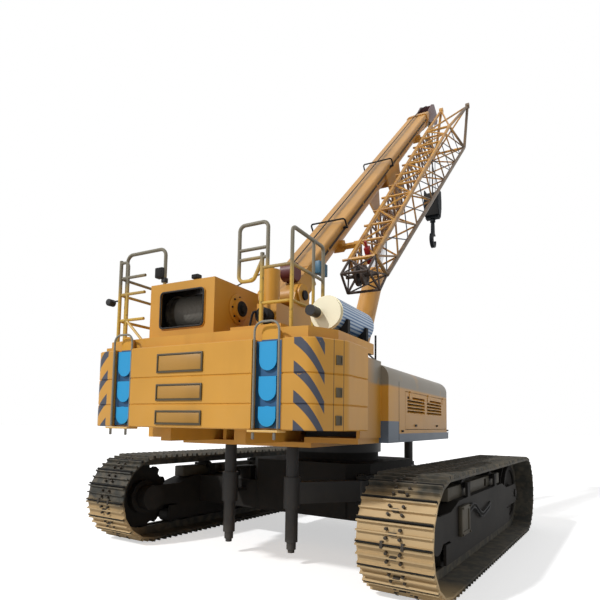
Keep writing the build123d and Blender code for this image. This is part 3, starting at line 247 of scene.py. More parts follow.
def striped_weight(coords, base):
    """Weathered paint, bands that steepen round the corner, and two upright seams."""
    tint, rough = weathered(0.14, 0.22, 1.9, 0.1)(coords, base)
    side = coords.axis(0).maths("ABSOLUTE", coords.axis(0), 0)
    way = side * CORNER_X + coords.axis(1) * CORNER_Y + CORNER_FROM
    on = way - STRIPE_WAY[0]
    fall = on * FALL + on * on * FALL_GROWTH
    step = (STRIPE_TOP - coords.axis(2) - fall) * (1 / STRIPE_PITCH)
    band = 1 - step.maths("FRACT", step, 0).over(STRIPE_SHARE, 0.03)
    panel = way.over(STRIPE_WAY[0], 0.006) * (1 - way.over(STRIPE_WAY[1], 0.006))
    chips = 1 - coords.noise(14.0, 6.0).over(0.68, 0.04) * 0.6
    seams = sum(way.over(at - 0.004, 0.004) * (1 - way.over(at + 0.004, 0.004)) for at in SEAM_WAYS)
    tint = (band * panel * chips).mix(tint, STRIPE)
    return (seams * 0.8).mix(tint, SOOT), rough


finish_of("weight_paint", YELLOW, pattern=striped_weight)
print("stripes painted")

# %% [markdown]
# ## The other finishes
# The rest of the crane shares a few finishes. Each is one call, with a colour
# written as it looks on screen and a pattern that ages it.

# %% One material for each finish
HOOD_SPLIT = -1.58       # seam of the hood's side, along the crane
HOOD_CREASE = 2.17       # where its side leans over into its roof
GOLD_Y, SKIRT_REAR = -1.99, -1.975          # the rear panel's gold starts, and the skirt ends
ROOF_REAR = -2.3         # where the painted sky reflection on its roof thins out
SKIRT_TOP, SKIRT_STEP = 1.615, 0.145        # height of the skirt, and its step up at the rear
WORN_FROM, WORN_CLOUD = 3.70, 0.7           # rails are worn above this height, with a cloud added to it
JIB_OUTER = 0.985        # x from which painted shade darkens the jib outwards
TONGUE_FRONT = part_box("counterweight_hangers")[0].y + 0.012
TONGUE_BLUE = color(22, 150, 206)
# grey of the sky's reflection, painted on the hood's roof
ROOF_SKY_REFLECTION = color(126, 124, 114)


def hanger_pattern(coords, base):
    """The raised tongues are lighter than the plate behind them, and the rounded tops are yellow."""
    tint, rough = weathered(0.1, 0.2, 0.0, 0.0)(coords, base)
    tongue = 1 - coords.axis(1).over(TONGUE_FRONT, 0.006)
    top = coords.axis(2).over(WEIGHT_HIGH.z - 0.004, 0.004)
    return top.mix(tongue.mix(tint, TONGUE_BLUE), YELLOW), rough


def hood_pattern(coords, base):
    """A grey sky reflection painted on the roof, a blue-grey skirt that steps up at the rear, and a deeper gold
    rear panel.
    """
    tint, rough = weathered(0.15, 0.25, 1.9, 0.06)(coords, base)
    height, along = coords.axis(2), coords.axis(1)
    rear = 1 - along.over(HOOD_SPLIT, 0.004)
    gold = 1 - along.over(GOLD_Y, 0.03)
    tint = (gold * 0.6).mix(tint, color(168, 116, 24))
    skirt_top = rear * SKIRT_STEP + SKIRT_TOP
    skirt = (skirt_top - height).over(0.0, 0.004) * along.over(SKIRT_REAR, 0.004)
    tint = skirt.mix(tint, SKIRT)
    # painted reflection of the sky on the roof, in patches
    roof = height.over(HOOD_CREASE, 0.03) * along.over(ROOF_REAR, 0.3)
    roof = roof * coords.noise(3.0, 4.0).over(0.25, 0.3)
    return (roof * 0.9).mix(tint, ROOF_SKY_REFLECTION), rough


HOUSE_LOW, HOUSE_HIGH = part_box("winch_housing")
# the box inside the housing's walls, where shade is painted near black
HOUSE_INSIDE = ((-1.090, -0.150), (HOUSE_LOW.y + 0.020, HOUSE_HIGH.y - 0.020), (2.640, HOUSE_HIGH.z - 0.020))


def housing_pattern(coords, base):
    """Yellow outside, and painted shade inside its walls, nearly black."""
    tint, rough = weathered(0.15, 0.25, 1.9, 0.08)(coords, base)
    inside = None
    for i, (low, high) in enumerate(HOUSE_INSIDE):
        within = coords.axis(i).over(low, 0.002) * (1 - coords.axis(i).over(high, 0.002))
        inside = within if inside is None else inside * within
    # painted shade: the inside of the walls turns near black
    return inside.mix(tint, color(20, 19, 18)), rough


def rail_pattern(coords, base):
    """Worn yellow tube, scuffed to grey where hands and boots reach."""
    tint, rough = weathered(0.12, 0.2, 0.0, 0.0, spots=0.4)(coords, base)
    cloud = coords.noise(2.2, 3.0)
    high = (coords.axis(2) + cloud * WORN_CLOUD).over(WORN_FROM, 0.35)
    return (high * 0.9).mix(tint, color(104, 104, 96)), rough


def boom_pattern(coords, base):
    """Sun-faded top with the rope's shadow painted down its middle, and browner flanks with long dark runs from
    the rope's grease.
    """
    tint, rough = weathered(0.12, 0.2, 0.0, 0.0)(coords, base)
    above = coords.node("ShaderNodeVectorMath", {"operation": "DOT_PRODUCT"}, {0: coords, 1: BOOM_UP},
                        output="Value")
    side = above - BOOM_FOOT.dot(BOOM_UP)
    grease = coords.node("ShaderNodeVectorMath", {"operation": "DOT_PRODUCT"}, {0: coords, 1: BOOM_ALONG},
                         output="Value")
    runs = (grease * 0.5 + coords.noise(1.2, 3.0) * 2.0 + side * 9.0)
    wave = runs.maths("SINE", runs * 2.4, 0).over(0.55, 0.5) * 0.30
    middle = 1 - coords.axis(0).maths("ABSOLUTE", coords.axis(0), 0).over(0.05, 0.06)
    # a painted shadow of the rope, down the middle of the top face
    top = side.over(0.165, 0.02) * middle * coords.noise(6.0, 4.0).over(0.35, 0.3)
    tint = wave.mix(tint, color(150, 108, 52))
    return (top * 0.55).mix(tint, color(92, 68, 40)), rough


def jib_pattern(coords, base):
    """Yellow bars on the side towards the boom, and painted shade on the outer side."""
    tint, rough = weathered(0.16, 0.3, 0.0, 0.0)(coords, base)
    # painted shade on the outer side, away from the sun
    outer_shade = coords.axis(0).over(JIB_OUTER, 0.10) * coords.noise(5.0, 3.0).over(0.22, 0.2)
    rust = coords.noise(7.0, 5.0).over(0.56, 0.12) * 0.5
    tint = rust.mix(tint, color(128, 72, 30))
    return (outer_shade * 0.85).mix(tint, color(72, 62, 52)), rough


SKIRT = color(84, 98, 114)
finish_of("main_paint", YELLOW, pattern=weathered(0.15, 0.25, 1.9, 0.08))
finish_of("housing_paint", YELLOW, pattern=housing_pattern)
finish_of("hood_paint", YELLOW, pattern=hood_pattern)
finish_of("boom_paint", color(204, 148, 66), pattern=boom_pattern)
finish_of("jib_paint", color(208, 150, 52), pattern=jib_pattern)
finish_of("rail_paint", color(206, 166, 60), pattern=rail_pattern)
finish_of("pipe_grey", color(128, 124, 112), roughness=0.45, metallic=0.3)
finish_of("plate_dark", color(78, 66, 38), pattern=weathered(0.1, 0.2, 0.0, 0.0))
finish_of("plate_gold", color(176, 128, 44), pattern=weathered(0.12, 0.3, 0.0, 0.0))
finish_of("lip_paint", color(226, 182, 104), pattern=weathered(0.1, 0.2, 0.0, 0.0))
finish_of("blue_paint", color(10, 84, 130), pattern=hanger_pattern)
finish_of("light_blue", color(44, 100, 128), pattern=weathered(0.08, 0.2, 0.0, 0.0))
finish_of("head_paint", color(92, 56, 58), pattern=weathered(0.1, 0.2, 0.0, 0.0))
finish_of("maroon", color(92, 30, 30), pattern=weathered(0.1, 0.2, 0.0, 0.0))
finish_of("red_paint", color(150, 26, 26), roughness=0.45)
finish_of("black_paint", color(15, 15, 16), pattern=weathered(0.1, 0.1, 1.3, 0.02, dull=0.55),
          Specular_IOR_Level=0.2)
finish_of("jack_paint", color(28, 28, 29), pattern=weathered(0.1, 0.15, 0.5, 0.08, dull=0.45))
finish_of("block_paint", color(8, 14, 20), roughness=0.7, Specular_IOR_Level=0.2)
finish_of("grease_black", color(22, 21, 20), roughness=0.4)
finish_of("web_paint", color(44, 42, 30), pattern=weathered(0.1, 0.2, 1.2, 0.1, dull=0.5))
finish_of("foot_dark", color(58, 42, 32), pattern=weathered(0.1, 0.2, 0.0, 0.0, dull=0.45))
finish_of("lace_brown", color(112, 72, 34), pattern=weathered(0.2, 0.3, 0.0, 0.0))
finish_of("lace_dark", color(48, 56, 68), roughness=0.6)
finish_of("rubber", color(26, 26, 27), roughness=0.7)
finish_of("dark_gap", color(14, 13, 12), roughness=0.9)
finish_of("shoe_dark", color(52, 44, 34), roughness=0.7)
finish_of("rod_chrome", color(206, 206, 208), roughness=0.16, metallic=1.0)
finish_of("bare_steel", color(120, 118, 114), metallic=0.6,
          pattern=worn_steel(color(84, 80, 74), color(138, 134, 126), 0.25))
finish_of("bolt_steel", color(126, 122, 114), roughness=0.4, metallic=0.7)
finish_of("rope_steel", color(128, 124, 116), roughness=0.5)
finish_of("rope_dark", color(52, 46, 38), roughness=0.6, metallic=0.2)
finish_of("engine_iron", color(70, 74, 76), roughness=0.6, metallic=0.3)
finish_of("cab_glass", color(62, 78, 84), roughness=0.06, Transmission_Weight=0.75, IOR=1.45)
finish_of("seat_trim", color(40, 40, 43), roughness=0.8)


def track_pattern(coords, base):
    """Track shoes: dark worn steel, with pale tan on the rear of the loops that is partly trodden dust and partly
    painted sunlight.
    """
    tint, rough = worn_steel(color(40, 40, 36), color(70, 69, 62), 0.14)(coords, base)
    # pale tan on the rear ends, partly dust and partly painted sunlight; it reaches higher on the right track
    rear = (-2.05 - coords.axis(1)).over(0.0, 0.5)
    right = coords.axis(0).over(0.0, 0.5)
    dust_and_sunlight_line = right * 0.50 + 0.42
    low = (dust_and_sunlight_line + coords.noise(3.0, 3.0) * 0.25 - coords.axis(2)).over(0.0, 0.16)
    dust_and_sunlight = rear * low * coords.noise(5.0, 5.0).over(0.22, 0.2) * 0.95
    return dust_and_sunlight.mix(tint, color(190, 164, 122)), rough + 0.1


DISC_Y, PIPE_Y = -2.832, -2.885       # cream from just ahead of the end disc, black from just behind it
RIBS = 200.0             # how fast the ribs follow each other upwards


def canister_pattern(coords, base):
    """A cream end disc with a black pipe, and a blue body with pale lengthwise ribs."""
    height, along = coords.axis(2), coords.axis(1)
    ribs = (height * 1.0).maths("SINE", height * RIBS, 0).over(0.1, 0.6)
    tint = ribs.mix(base, color(66, 104, 150))
    tint = (1 - along.over(DISC_Y, 0.004)).mix(tint, color(228, 220, 192))
    pipe_end = 1 - along.over(PIPE_Y, 0.004)
    return pipe_end.mix(tint, color(24, 23, 24)), coords.noise(6.0) * 0.2 + 0.3


finish_of("track_steel", color(92, 84, 72), metallic=0.2, pattern=track_pattern)
finish_of("canister_skin", color(176, 192, 208), metallic=0.3, pattern=canister_pattern)
print("materials:", len(MATERIALS))

# %% [markdown]
# ## Paint the CAD solids
# Each solid names the finish it takes in the record. A few show a different
# paint from the solids that share their finish, so they are listed apart.

# %% Put the finishes on the solids
REPAINTED = {
    "jib_truss": "jib_paint", "jib_brackets": "jib_paint", "slewing_ring": "grease_black",
    "jack_rear_right": "jack_paint", "jack_rear_left": "jack_paint",
    "jack_front_right": "jack_paint", "jack_front_left": "jack_paint",
    "winch_housing": "housing_paint", "engine_hood": "hood_paint", "hood_door": "hood_paint",
    "hook_block": "block_paint", "hook": "block_paint", "rope_falls": "rope_dark",
    "track_rollers": "black_paint", "idlers": "black_paint", "sprockets": "black_paint",
}
slots = {part["node"]: part["material_slot"] for part in frame["record"]["subparts"]}
for name, solid in frame["nodes"].items():
    solid.data.materials.clear()
    solid.data.materials.append(MATERIALS[REPAINTED.get(name, slots[name])])
print("painted:", len(frame["nodes"]), "solids")

# %% [markdown]
# ## Tools for the fittings
# A fitting starts as a simple shape from Blender's own menu and is then worked
# on as by hand. The helpers do what the fittings share: clearing the selection,
# rounding sharp edges with a bevel, picking faces, making a box or a disc,
# bending a tube through corners, and settling the finished piece. Settling puts
# its place into its mesh, points its faces outwards, paints it, and lets it ride
# on the body that carries it.

# %% Helpers for new pieces
def clear_selection():
    bpy.ops.object.select_all(action="DESELECT")


def soften(piece, edge, segments=2):
    """Round the sharp edges of a piece."""
    bevel = piece.modifiers.new("edge", "BEVEL")
    bevel.width, bevel.segments, bevel.limit_method = edge, segments, "ANGLE"
    bpy.context.view_layer.objects.active = piece
    bpy.ops.object.modifier_apply(modifier=bevel.name)


def pick(piece, test):
    """Enter edit mode with only the faces selected whose middle and normal pass a test."""
    bpy.context.view_layer.objects.active = piece
    bpy.ops.object.mode_set(mode="EDIT")
    bpy.ops.mesh.select_mode(type="FACE")
    bpy.ops.mesh.select_all(action="DESELECT")
    mesh = bmesh.from_edit_mesh(piece.data)
    for face in mesh.faces:
        face.select_set(test(face.calc_center_median(), face.normal))
    bmesh.update_edit_mesh(piece.data)


def box_between(low, high, edge=0.004):
    """A box between two corners with softened edges."""
    clear_selection()
    low, high = Vector(low), Vector(high)
    bpy.ops.mesh.primitive_cube_add(size=1, location=(low + high) / 2)
    piece = bpy.context.object
    piece.scale = high - low
    bpy.ops.object.transform_apply(location=True, rotation=False, scale=True)
    soften(piece, edge)
    return piece


def disc(middle, axis, radius, length, edge=0.004, sides=32):
    """A round piece with softened rims: a rod, a boss, a lamp body or a bolt head."""
    clear_selection()
    turn = Vector((0, 0, 1)).rotation_difference(Vector(axis)).to_euler()
    bpy.ops.mesh.primitive_cylinder_add(vertices=sides, radius=radius, depth=length,
                                        location=middle, rotation=turn)
    piece = bpy.context.object
    bpy.ops.object.transform_apply(location=True, rotation=True, scale=True)
    soften(piece, edge)
    return piece


def pipe(points, radius, bend=0.03):
    """A bent tube: one vertex extruded through the points, corners rounded, then given a thickness."""
    clear_selection()
    points = [Vector(p) for p in points]
    bpy.ops.mesh.primitive_plane_add(size=0.01, location=(0, 0, 0))
    path = bpy.context.object
    bpy.ops.object.mode_set(mode="EDIT")
    bpy.ops.mesh.select_mode(type="VERT")
    bpy.ops.mesh.select_all(action="SELECT")
    bpy.ops.mesh.merge(type="CENTER")
    bpy.ops.transform.translate(value=points[0])
    for before, after in zip(points, points[1:]):
        bpy.ops.mesh.extrude_region_move(TRANSFORM_OT_translate={"value": after - before})
    if bend and len(points) > 2:
        mesh = bmesh.from_edit_mesh(path.data)
        for vertex in mesh.verts:
            vertex.select_set(len(vertex.link_edges) == 2)
        bmesh.update_edit_mesh(path.data)
        bpy.ops.mesh.bevel(offset=bend, segments=4, affect="VERTICES")
    bpy.ops.object.mode_set(mode="OBJECT")
    bpy.ops.object.convert(target="CURVE")
    path.data.bevel_depth, path.data.bevel_resolution, path.data.use_fill_caps = radius, 1, True
    bpy.ops.object.convert(target="MESH")
    return bpy.context.object


def settle(name, pieces, finish, body, smooth=35):
    """Join loose pieces into one fitting, then name it, paint it and let it ride on its body."""
    clear_selection()
    for piece in pieces:
        piece.select_set(True)
    bpy.context.view_layer.objects.active = pieces[0]
    if len(pieces) > 1:
        bpy.ops.object.join()
    made = bpy.context.object
    made.name = made.data.name = name
    bpy.ops.object.transform_apply(location=True, rotation=True, scale=True)
    bpy.ops.object.mode_set(mode="EDIT")
    bpy.ops.mesh.select_all(action="SELECT")
    bpy.ops.mesh.remove_doubles(threshold=0.00001)
    bpy.ops.mesh.normals_make_consistent(inside=False)
    bpy.ops.object.mode_set(mode="OBJECT")
    bpy.ops.object.shade_smooth_by_angle(angle=radians(smooth))
    made.data.materials.clear()
    made.data.materials.append(MATERIALS[finish])
    if body:
        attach(made, body)
    print(name, "faces:", len(made.data.polygons))
    return made


# %% [markdown]
# ## Blank plates on the counterweight
# Each slab carries a cast plate in the middle of its back, and a small one on
# the corner. They stay blank: a tray is inset into a thin box and pushed in, and
# a flat face lies in the tray.

# %% Plates of the slabs
SLABS = [(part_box(f"counterweight_{name}")[0].z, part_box(f"counterweight_{name}")[1].z)
         for name in ("lower", "middle", "upper")]
BACK = WEIGHT_LOW.y
PLATE_X = (-0.40, 0.205)
PLATE_SHARE = (0.13, 0.74)       # lower and upper edge, as shares of the slab's height


def tray(low, high, rim, depth):
    """A flat box whose back is inset and pushed in."""
    piece = box_between(low, high, 0.003)
    pick(piece, lambda middle, normal: normal.y < -0.99 and middle.y < low[1] + 0.001)
    bpy.ops.mesh.inset(thickness=rim)
    bpy.ops.mesh.extrude_region_move(TRANSFORM_OT_translate={"value": (0, depth, 0)})
    bpy.ops.object.mode_set(mode="OBJECT")
    return piece


trays, faces = [], []
for z0, z1 in SLABS:
    low, high = (z0 + (z1 - z0) * share for share in PLATE_SHARE)
    trays.append(tray((PLATE_X[0], BACK - 0.016, low), (PLATE_X[1], BACK + 0.004, high), 0.012, 0.010))
    faces.append(box_between((PLATE_X[0] + 0.022, BACK - 0.010, low + 0.022),
                             (PLATE_X[1] - 0.022, BACK - 0.002, high - 0.022), 0.003))
settle("weight_plate_frames", trays, "plate_dark", "superstructure")
settle("weight_plate_faces", faces, "plate_gold", "superstructure")

# %% Small plates on the corners
CORNER_A, CORNER_B = Vector((1.390, -3.490, 0)), Vector((1.579, -3.130, 0))
small = []
for side in (1, -1):
    along = (CORNER_B - CORNER_A).normalized()
    middle = CORNER_A + along * 0.296
    out = Vector((along.y, -along.x, 0))
    turn = atan2(out.y, out.x) + pi / 2
    for z0, z1 in SLABS:
        height = z0 + (z1 - z0) * 0.40
        piece = tray((-0.036, -0.012, -0.045), (0.036, 0.006, 0.045), 0.010, 0.006)
        piece.location = (side * middle.x, middle.y, height)
        piece.rotation_euler = (0, 0, side * turn)
        small.append(piece)
settle("corner_plates", small, "plate_dark", "superstructure")

# %% [markdown]
# ## Pipes and tabs in the pockets
# In each pocket of the counterweight a pipe runs up one side, over the rounded
# tab and down the other side. It is one bent tube, with a lip and two pins
# under it that lock the lowest slab.

# %% Pocket pipes, lips and pins
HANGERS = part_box("counterweight_hangers")
POCKET_MIDDLE = 0.935
POCKET_HALF = 0.135
PIPE_R = 0.012
pipes, lips, pins = [], [], []
for side in (1, -1):
    left, right = (side * POCKET_MIDDLE + s * POCKET_HALF for s in (-1, 1))
    y = BACK + 0.018
    pipes.append(pipe([(left, y, WEIGHT_LOW.z + 0.01), (left, y, HANGERS[1].z + 0.012),
                       (right, y, HANGERS[1].z + 0.012), (right, y, WEIGHT_LOW.z + 0.01)], PIPE_R, 0.085))
    lips.append(box_between((left - 0.03, BACK - 0.035, WEIGHT_LOW.z - 0.022),
                            (right + 0.03, BACK + 0.12, WEIGHT_LOW.z - 0.001), 0.005))
    for x in (left + 0.02, right - 0.02):
        pins.append(disc((x, BACK - 0.005, WEIGHT_LOW.z - 0.05), (0, 0, 1), 0.014, 0.075, 0.004, 12))
settle("pocket_pipes", pipes, "pipe_grey", "superstructure", 50)
settle("pocket_lips", lips, "lip_paint", "superstructure")
settle("slab_pins", pins, "bolt_steel", "superstructure")

# %% [markdown]
# ## Rope on the hoist drum
# The drum shows through the mouth of its housing, wound with rope from flange to
# flange. One turn is a thin torus, leaned by half its pitch so that it reads as a
# winding, and an array repeats it across the drum.

# %% Rope turns
ROPE = 0.010
DRUM_AXLE = Vector(JOINTS["hoist_drum_turn"]["pos_m"])
WOUND_R = 0.222 + ROPE
WOUND_X = (-0.935, -0.300)
turns = int((WOUND_X[1] - WOUND_X[0]) / (2 * ROPE))
clear_selection()
bpy.ops.mesh.primitive_torus_add(major_radius=WOUND_R, minor_radius=ROPE * 0.98,
                                 major_segments=40, minor_segments=6,
                                 location=(WOUND_X[0] + ROPE, DRUM_AXLE.y, DRUM_AXLE.z),
                                 rotation=(0, radians(90) + ROPE / WOUND_R / 2, 0))
coil = bpy.context.object
bpy.ops.object.transform_apply(location=True, rotation=True, scale=True)
winding = coil.modifiers.new("winding", "ARRAY")
winding.use_relative_offset, winding.use_constant_offset = False, True
winding.constant_offset_displace = (2 * ROPE, 0, 0)
winding.count = turns
bpy.ops.object.modifier_apply(modifier=winding.name)
settle("drum_rope", [coil], "rope_steel", "hoist_drum", 60)

# %% [markdown]
# ## Winch housing
# A dark rubber strip edges the mouth, and a bearing cap with a dark hub closes
# the drum's shaft on the right side. The lamps stand on the roof and the rails.

# %% Edge strip and bearing cap
MOUTH = (-0.930, -0.275, 2.820, 3.255)
x0, x1, z0, z1 = MOUTH
strip_y = HOUSE_LOW.y - 0.003
strip = pipe([((x0 + x1) / 2, strip_y, z0), (x0, strip_y, z0), (x0, strip_y, z1),
              (x1, strip_y, z1), (x1, strip_y, z0), ((x0 + x1) / 2, strip_y, z0)], 0.011, 0.045)
settle("mouth_strip", [strip], "rubber", "superstructure", 50)
cap_x = -0.130
cap = disc((cap_x + 0.010, DRUM_AXLE.y, DRUM_AXLE.z), (1, 0, 0), 0.185, 0.020, 0.006)
settle("bearing_cap", [cap], "main_paint", "superstructure")
hub = disc((cap_x + 0.045, DRUM_AXLE.y, DRUM_AXLE.z), (1, 0, 0), 0.095, 0.060, 0.010)
pick(hub, lambda middle, normal: normal.x > 0.99)
bpy.ops.mesh.inset(thickness=0.035)
bpy.ops.mesh.extrude_region_move(TRANSFORM_OT_translate={"value": (0.030, 0, 0)})
bpy.ops.object.mode_set(mode="OBJECT")
BOLT_CIRCLE = 0.145
bolts = [disc((cap_x + 0.026, DRUM_AXLE.y + BOLT_CIRCLE * cos(a), DRUM_AXLE.z + BOLT_CIRCLE * sin(a)),
              (1, 0, 0), 0.013, 0.014, 0.002, 6) for a in (radians(45 * i) for i in range(8))]
settle("bearing_hub", [hub] + bolts, "black_paint", "superstructure")

# %% Lamps
ROUND_LAMP = (-1.74, -3.06, 3.21)
lamp_round = disc(ROUND_LAMP, (0, 1, 0), 0.045, 0.10, 0.012, 24)
stalk = pipe([(-1.58, -3.06, 3.22), (-1.70, -3.06, 3.22)], 0.011, 0)
lamp_box = box_between((-1.045, -3.02, 3.455), (-0.925, -2.94, 3.585), 0.012)
clamp = box_between((-0.965, -2.99, 3.40), (-0.905, -2.93, 3.46), 0.006)
roof_lamp = box_between((-0.50, -2.98, HOUSE_HIGH.z + 0.022), (-0.40, -2.90, HOUSE_HIGH.z + 0.075), 0.010)
foot = disc((-0.45, -2.94, HOUSE_HIGH.z + 0.012), (0, 0, 1), 0.014, 0.03, 0.002, 12)
settle("lamp_bodies", [lamp_round, stalk, lamp_box, clamp, roof_lamp, foot], "rubber", "superstructure")
lenses = [box_between((-1.035, -3.026, 3.465), (-0.935, -3.018, 3.575), 0.003),
          box_between((-0.49, -2.985, HOUSE_HIGH.z + 0.030), (-0.41, -2.979, HOUSE_HIGH.z + 0.068), 0.002)]
settle("lamp_lenses", lenses, "dark_gap", "superstructure")

# %% [markdown]
# ## Track shoes
# Each shoe is bolted to its chain link, with a slot between the bolts. In the gap
# between one shoe and the next, a dark strip is painted shade. The CAD shoes follow
# a path of two half circles joined by two straight runs, and the same path places
# the bolts. One set is modelled, and copied to every shoe.

# %% The path of the shoes
TRACK_SLEW = radians(-4.66)
GAUGE, TRACK_LENGTH, TRACK_HEIGHT = 4.270, 5.410, 1.225
SHOE_WIDTH, SHOE_PLATE, GROUSER, SHOES = 0.768, 0.022, 0.038, 56
AXLE_Z = TRACK_HEIGHT / 2
HALF_RUN = (TRACK_LENGTH - TRACK_HEIGHT) / 2
PATH_R = TRACK_HEIGHT / 2 - SHOE_PLATE - GROUSER
ARC, RUN = pi * PATH_R, 2 * HALF_RUN
PITCH = 2 * (ARC + RUN) / SHOES


def loop_point(way):
    """Point of the path at a distance along it, in (y, z): lower run, front, upper run, rear."""
    way = way % (2 * (ARC + RUN))
    if way < RUN:
        return -HALF_RUN + way, AXLE_Z - PATH_R
    if way < RUN + ARC:
        angle = -pi / 2 + (way - RUN) / PATH_R
        return HALF_RUN + PATH_R * cos(angle), AXLE_Z + PATH_R * sin(angle)
    if way < 2 * RUN + ARC:
        return HALF_RUN - (way - RUN - ARC), AXLE_Z + PATH_R
    angle = pi / 2 + (way - 2 * RUN - ARC) / PATH_R
    return -HALF_RUN + PATH_R * cos(angle), AXLE_Z + PATH_R * sin(angle)


def shoe_places():
    """For each shoe, the middle of its inner face and its lean."""
    corners = [loop_point(i * PITCH) for i in range(SHOES)]
    for (y0, z0), (y1, z1) in zip(corners, corners[1:] + corners[:1]):
        yield (y0 + y1) / 2, (z0 + z1) / 2, atan2(z1 - z0, y1 - y0)


# %% Bolts, slots and gaps of the shoes
def copies_on_shoes(piece, name, finish, step=1):
    """Copy a piece that was modelled on the ground under the axis onto every shoe of both tracks."""
    copies = []
    for side in (-1, 1):
        for y, z, lean in list(shoe_places())[::step]:
            copy = piece.copy()
            copy.data = piece.data.copy()
            scene.collection.objects.link(copy)
            place = Matrix.Rotation(TRACK_SLEW, 4, "Z") @ Matrix.Translation((side * GAUGE / 2, y, z))
            copy.matrix_world = place @ Matrix.Rotation(lean, 4, "X")
            copies.append(copy)
    bpy.data.objects.remove(piece)
    return settle(name, copies, finish, "undercarriage")


ON_SHOE = -(SHOE_PLATE + GROUSER)
bolt_set = [disc((side * 0.070, share * PITCH, ON_SHOE + 0.025), (0, 0, 1), 0.017, 0.046, 0.003, 6)
            for side in (-1, 1) for share in (-0.20, 0.20)]
slot = box_between((-0.036, -0.016, ON_SHOE + 0.002), (0.036, 0.016, -SHOE_PLATE + 0.004), 0.003)
clear_selection()
for piece in bolt_set + [slot]:
    piece.select_set(True)
bpy.context.view_layer.objects.active = slot
bpy.ops.object.join()
copies_on_shoes(bpy.context.object, "shoe_bolts", "shoe_dark")
# a dark strip in each gap between shoes, as painted shade
gap = box_between((-SHOE_WIDTH / 2 + 0.002, PITCH / 2 - 0.006, ON_SHOE + 0.004),
                  (SHOE_WIDTH / 2 - 0.002, PITCH / 2 + 0.005, -SHOE_PLATE * 0.5), 0.001)
copies_on_shoes(gap, "shoe_gap_shade", "dark_gap")
links = [box_between((x - 0.016, PITCH / 2 - 0.036, ON_SHOE + 0.001),
                     (x + 0.016, PITCH / 2 + 0.036, -SHOE_PLATE), 0.006) for x in (-0.105, 0.105)]
clear_selection()
for piece in links:
    piece.select_set(True)
bpy.context.view_layer.objects.active = links[0]
bpy.ops.object.join()
copies_on_shoes(bpy.context.object, "link_ends", "shoe_dark", 3)

# %% [markdown]
# ## Webs over the track frames
# Between the side frame and the upper run of each track stands a web plate with
# two upright slots. A long box is divided, the faces of the slots are picked by
# their place, inset and pushed in.

# %% Frame webs
FRAME_TOP = AXLE_Z + 0.240
WEB_HALF, WEB_HIGH, WEB_THICK = 1.30, 0.150, 0.10
SLOT_Y, SLOT_HALF = (-0.42, 0.42), 0.07
webs = []
for side in (-1, 1):
    web = box_between((-WEB_THICK, -WEB_HALF, FRAME_TOP - 0.01),
                      (WEB_THICK, WEB_HALF, FRAME_TOP + WEB_HIGH), 0.012)
    for y in [middle + edge for middle in SLOT_Y for edge in (-SLOT_HALF, SLOT_HALF)]:
        pick(web, lambda middle, normal: True)
        bpy.ops.mesh.bisect(plane_co=(0, y, 0), plane_no=(0, 1, 0))
        bpy.ops.object.mode_set(mode="OBJECT")
    for outwards in (-1, 1):
        pick(web, lambda middle, normal: normal.x * outwards > 0.99
             and min(abs(middle.y - y) for y in SLOT_Y) < SLOT_HALF)
        bpy.ops.mesh.inset(thickness=0.014)
        bpy.ops.mesh.extrude_region_move(TRANSFORM_OT_translate={"value": (-0.05 * outwards, 0, 0)})
        bpy.ops.object.mode_set(mode="OBJECT")
    web.matrix_world = Matrix.Rotation(TRACK_SLEW, 4, "Z") @ Matrix.Translation((side * GAUGE / 2, 0, 0))
    webs.append(web)
settle("frame_webs", webs, "web_paint", "undercarriage")

# %% [markdown]
# ## Covers and hoses on the track frames
# A square cover closes the final drive's oil sump at the rear of each frame, and
# two hoses loop from it along the frame to the rotary joint.

# %% Frame covers and hoses
FRAME_SIDE = 0.180
COVER_Y, COVER_Z, COVER_HALF = -1.02, 0.62, 0.17
covers, frame_hoses = [], []
for side in (-1, 1):
    face = side * FRAME_SIDE
    place = Matrix.Rotation(TRACK_SLEW, 4, "Z") @ Matrix.Translation((side * GAUGE / 2, 0, 0))
    cover = box_between((min(face, face + side * 0.05), COVER_Y - COVER_HALF, COVER_Z - COVER_HALF),
                        (max(face, face + side * 0.05), COVER_Y + COVER_HALF, COVER_Z + COVER_HALF), 0.012)
    pick(cover, lambda middle, normal: normal.x * side > 0.99)
    bpy.ops.mesh.inset(thickness=0.035)
    bpy.ops.mesh.extrude_region_move(TRANSFORM_OT_translate={"value": (-0.012 * side, 0, 0)})
    bpy.ops.object.mode_set(mode="OBJECT")
    heads = [disc((face + side * 0.056, COVER_Y + dy, COVER_Z + dz), (1, 0, 0), 0.013, 0.016, 0.002, 6)
             for dy in (-0.15, 0.15) for dz in (-0.15, 0.15)]
    for piece in [cover] + heads:
        piece.matrix_world = place
        covers.append(piece)
    out = face + side * 0.03
    for drop in (0.0, 0.05):
        hose = pipe([(out, COVER_Y + 0.15, COVER_Z + 0.10 - drop),
                     (out, COVER_Y + 0.42, COVER_Z + 0.16 - drop),
                     (out, COVER_Y + 0.80, COVER_Z - 0.04 - drop),
                     (out, COVER_Y + 1.30, COVER_Z + 0.05 - drop),
                     (face - side * 0.02, COVER_Y + 1.40, COVER_Z + 0.05 - drop)], 0.014, 0.10)
        hose.matrix_world = place
        frame_hoses.append(hose)
settle("frame_covers", covers, "web_paint", "undercarriage")
settle("frame_hoses", frame_hoses, "rubber", "undercarriage", 60)

# %% [markdown]
# ## The foot of the stowed jib
# The folded jib ends in a dark foot frame with a sheave that its rope runs
# over, and a red pin bracket above it. The foot frame is made of thin bars in
# crosses, like the lattice itself.

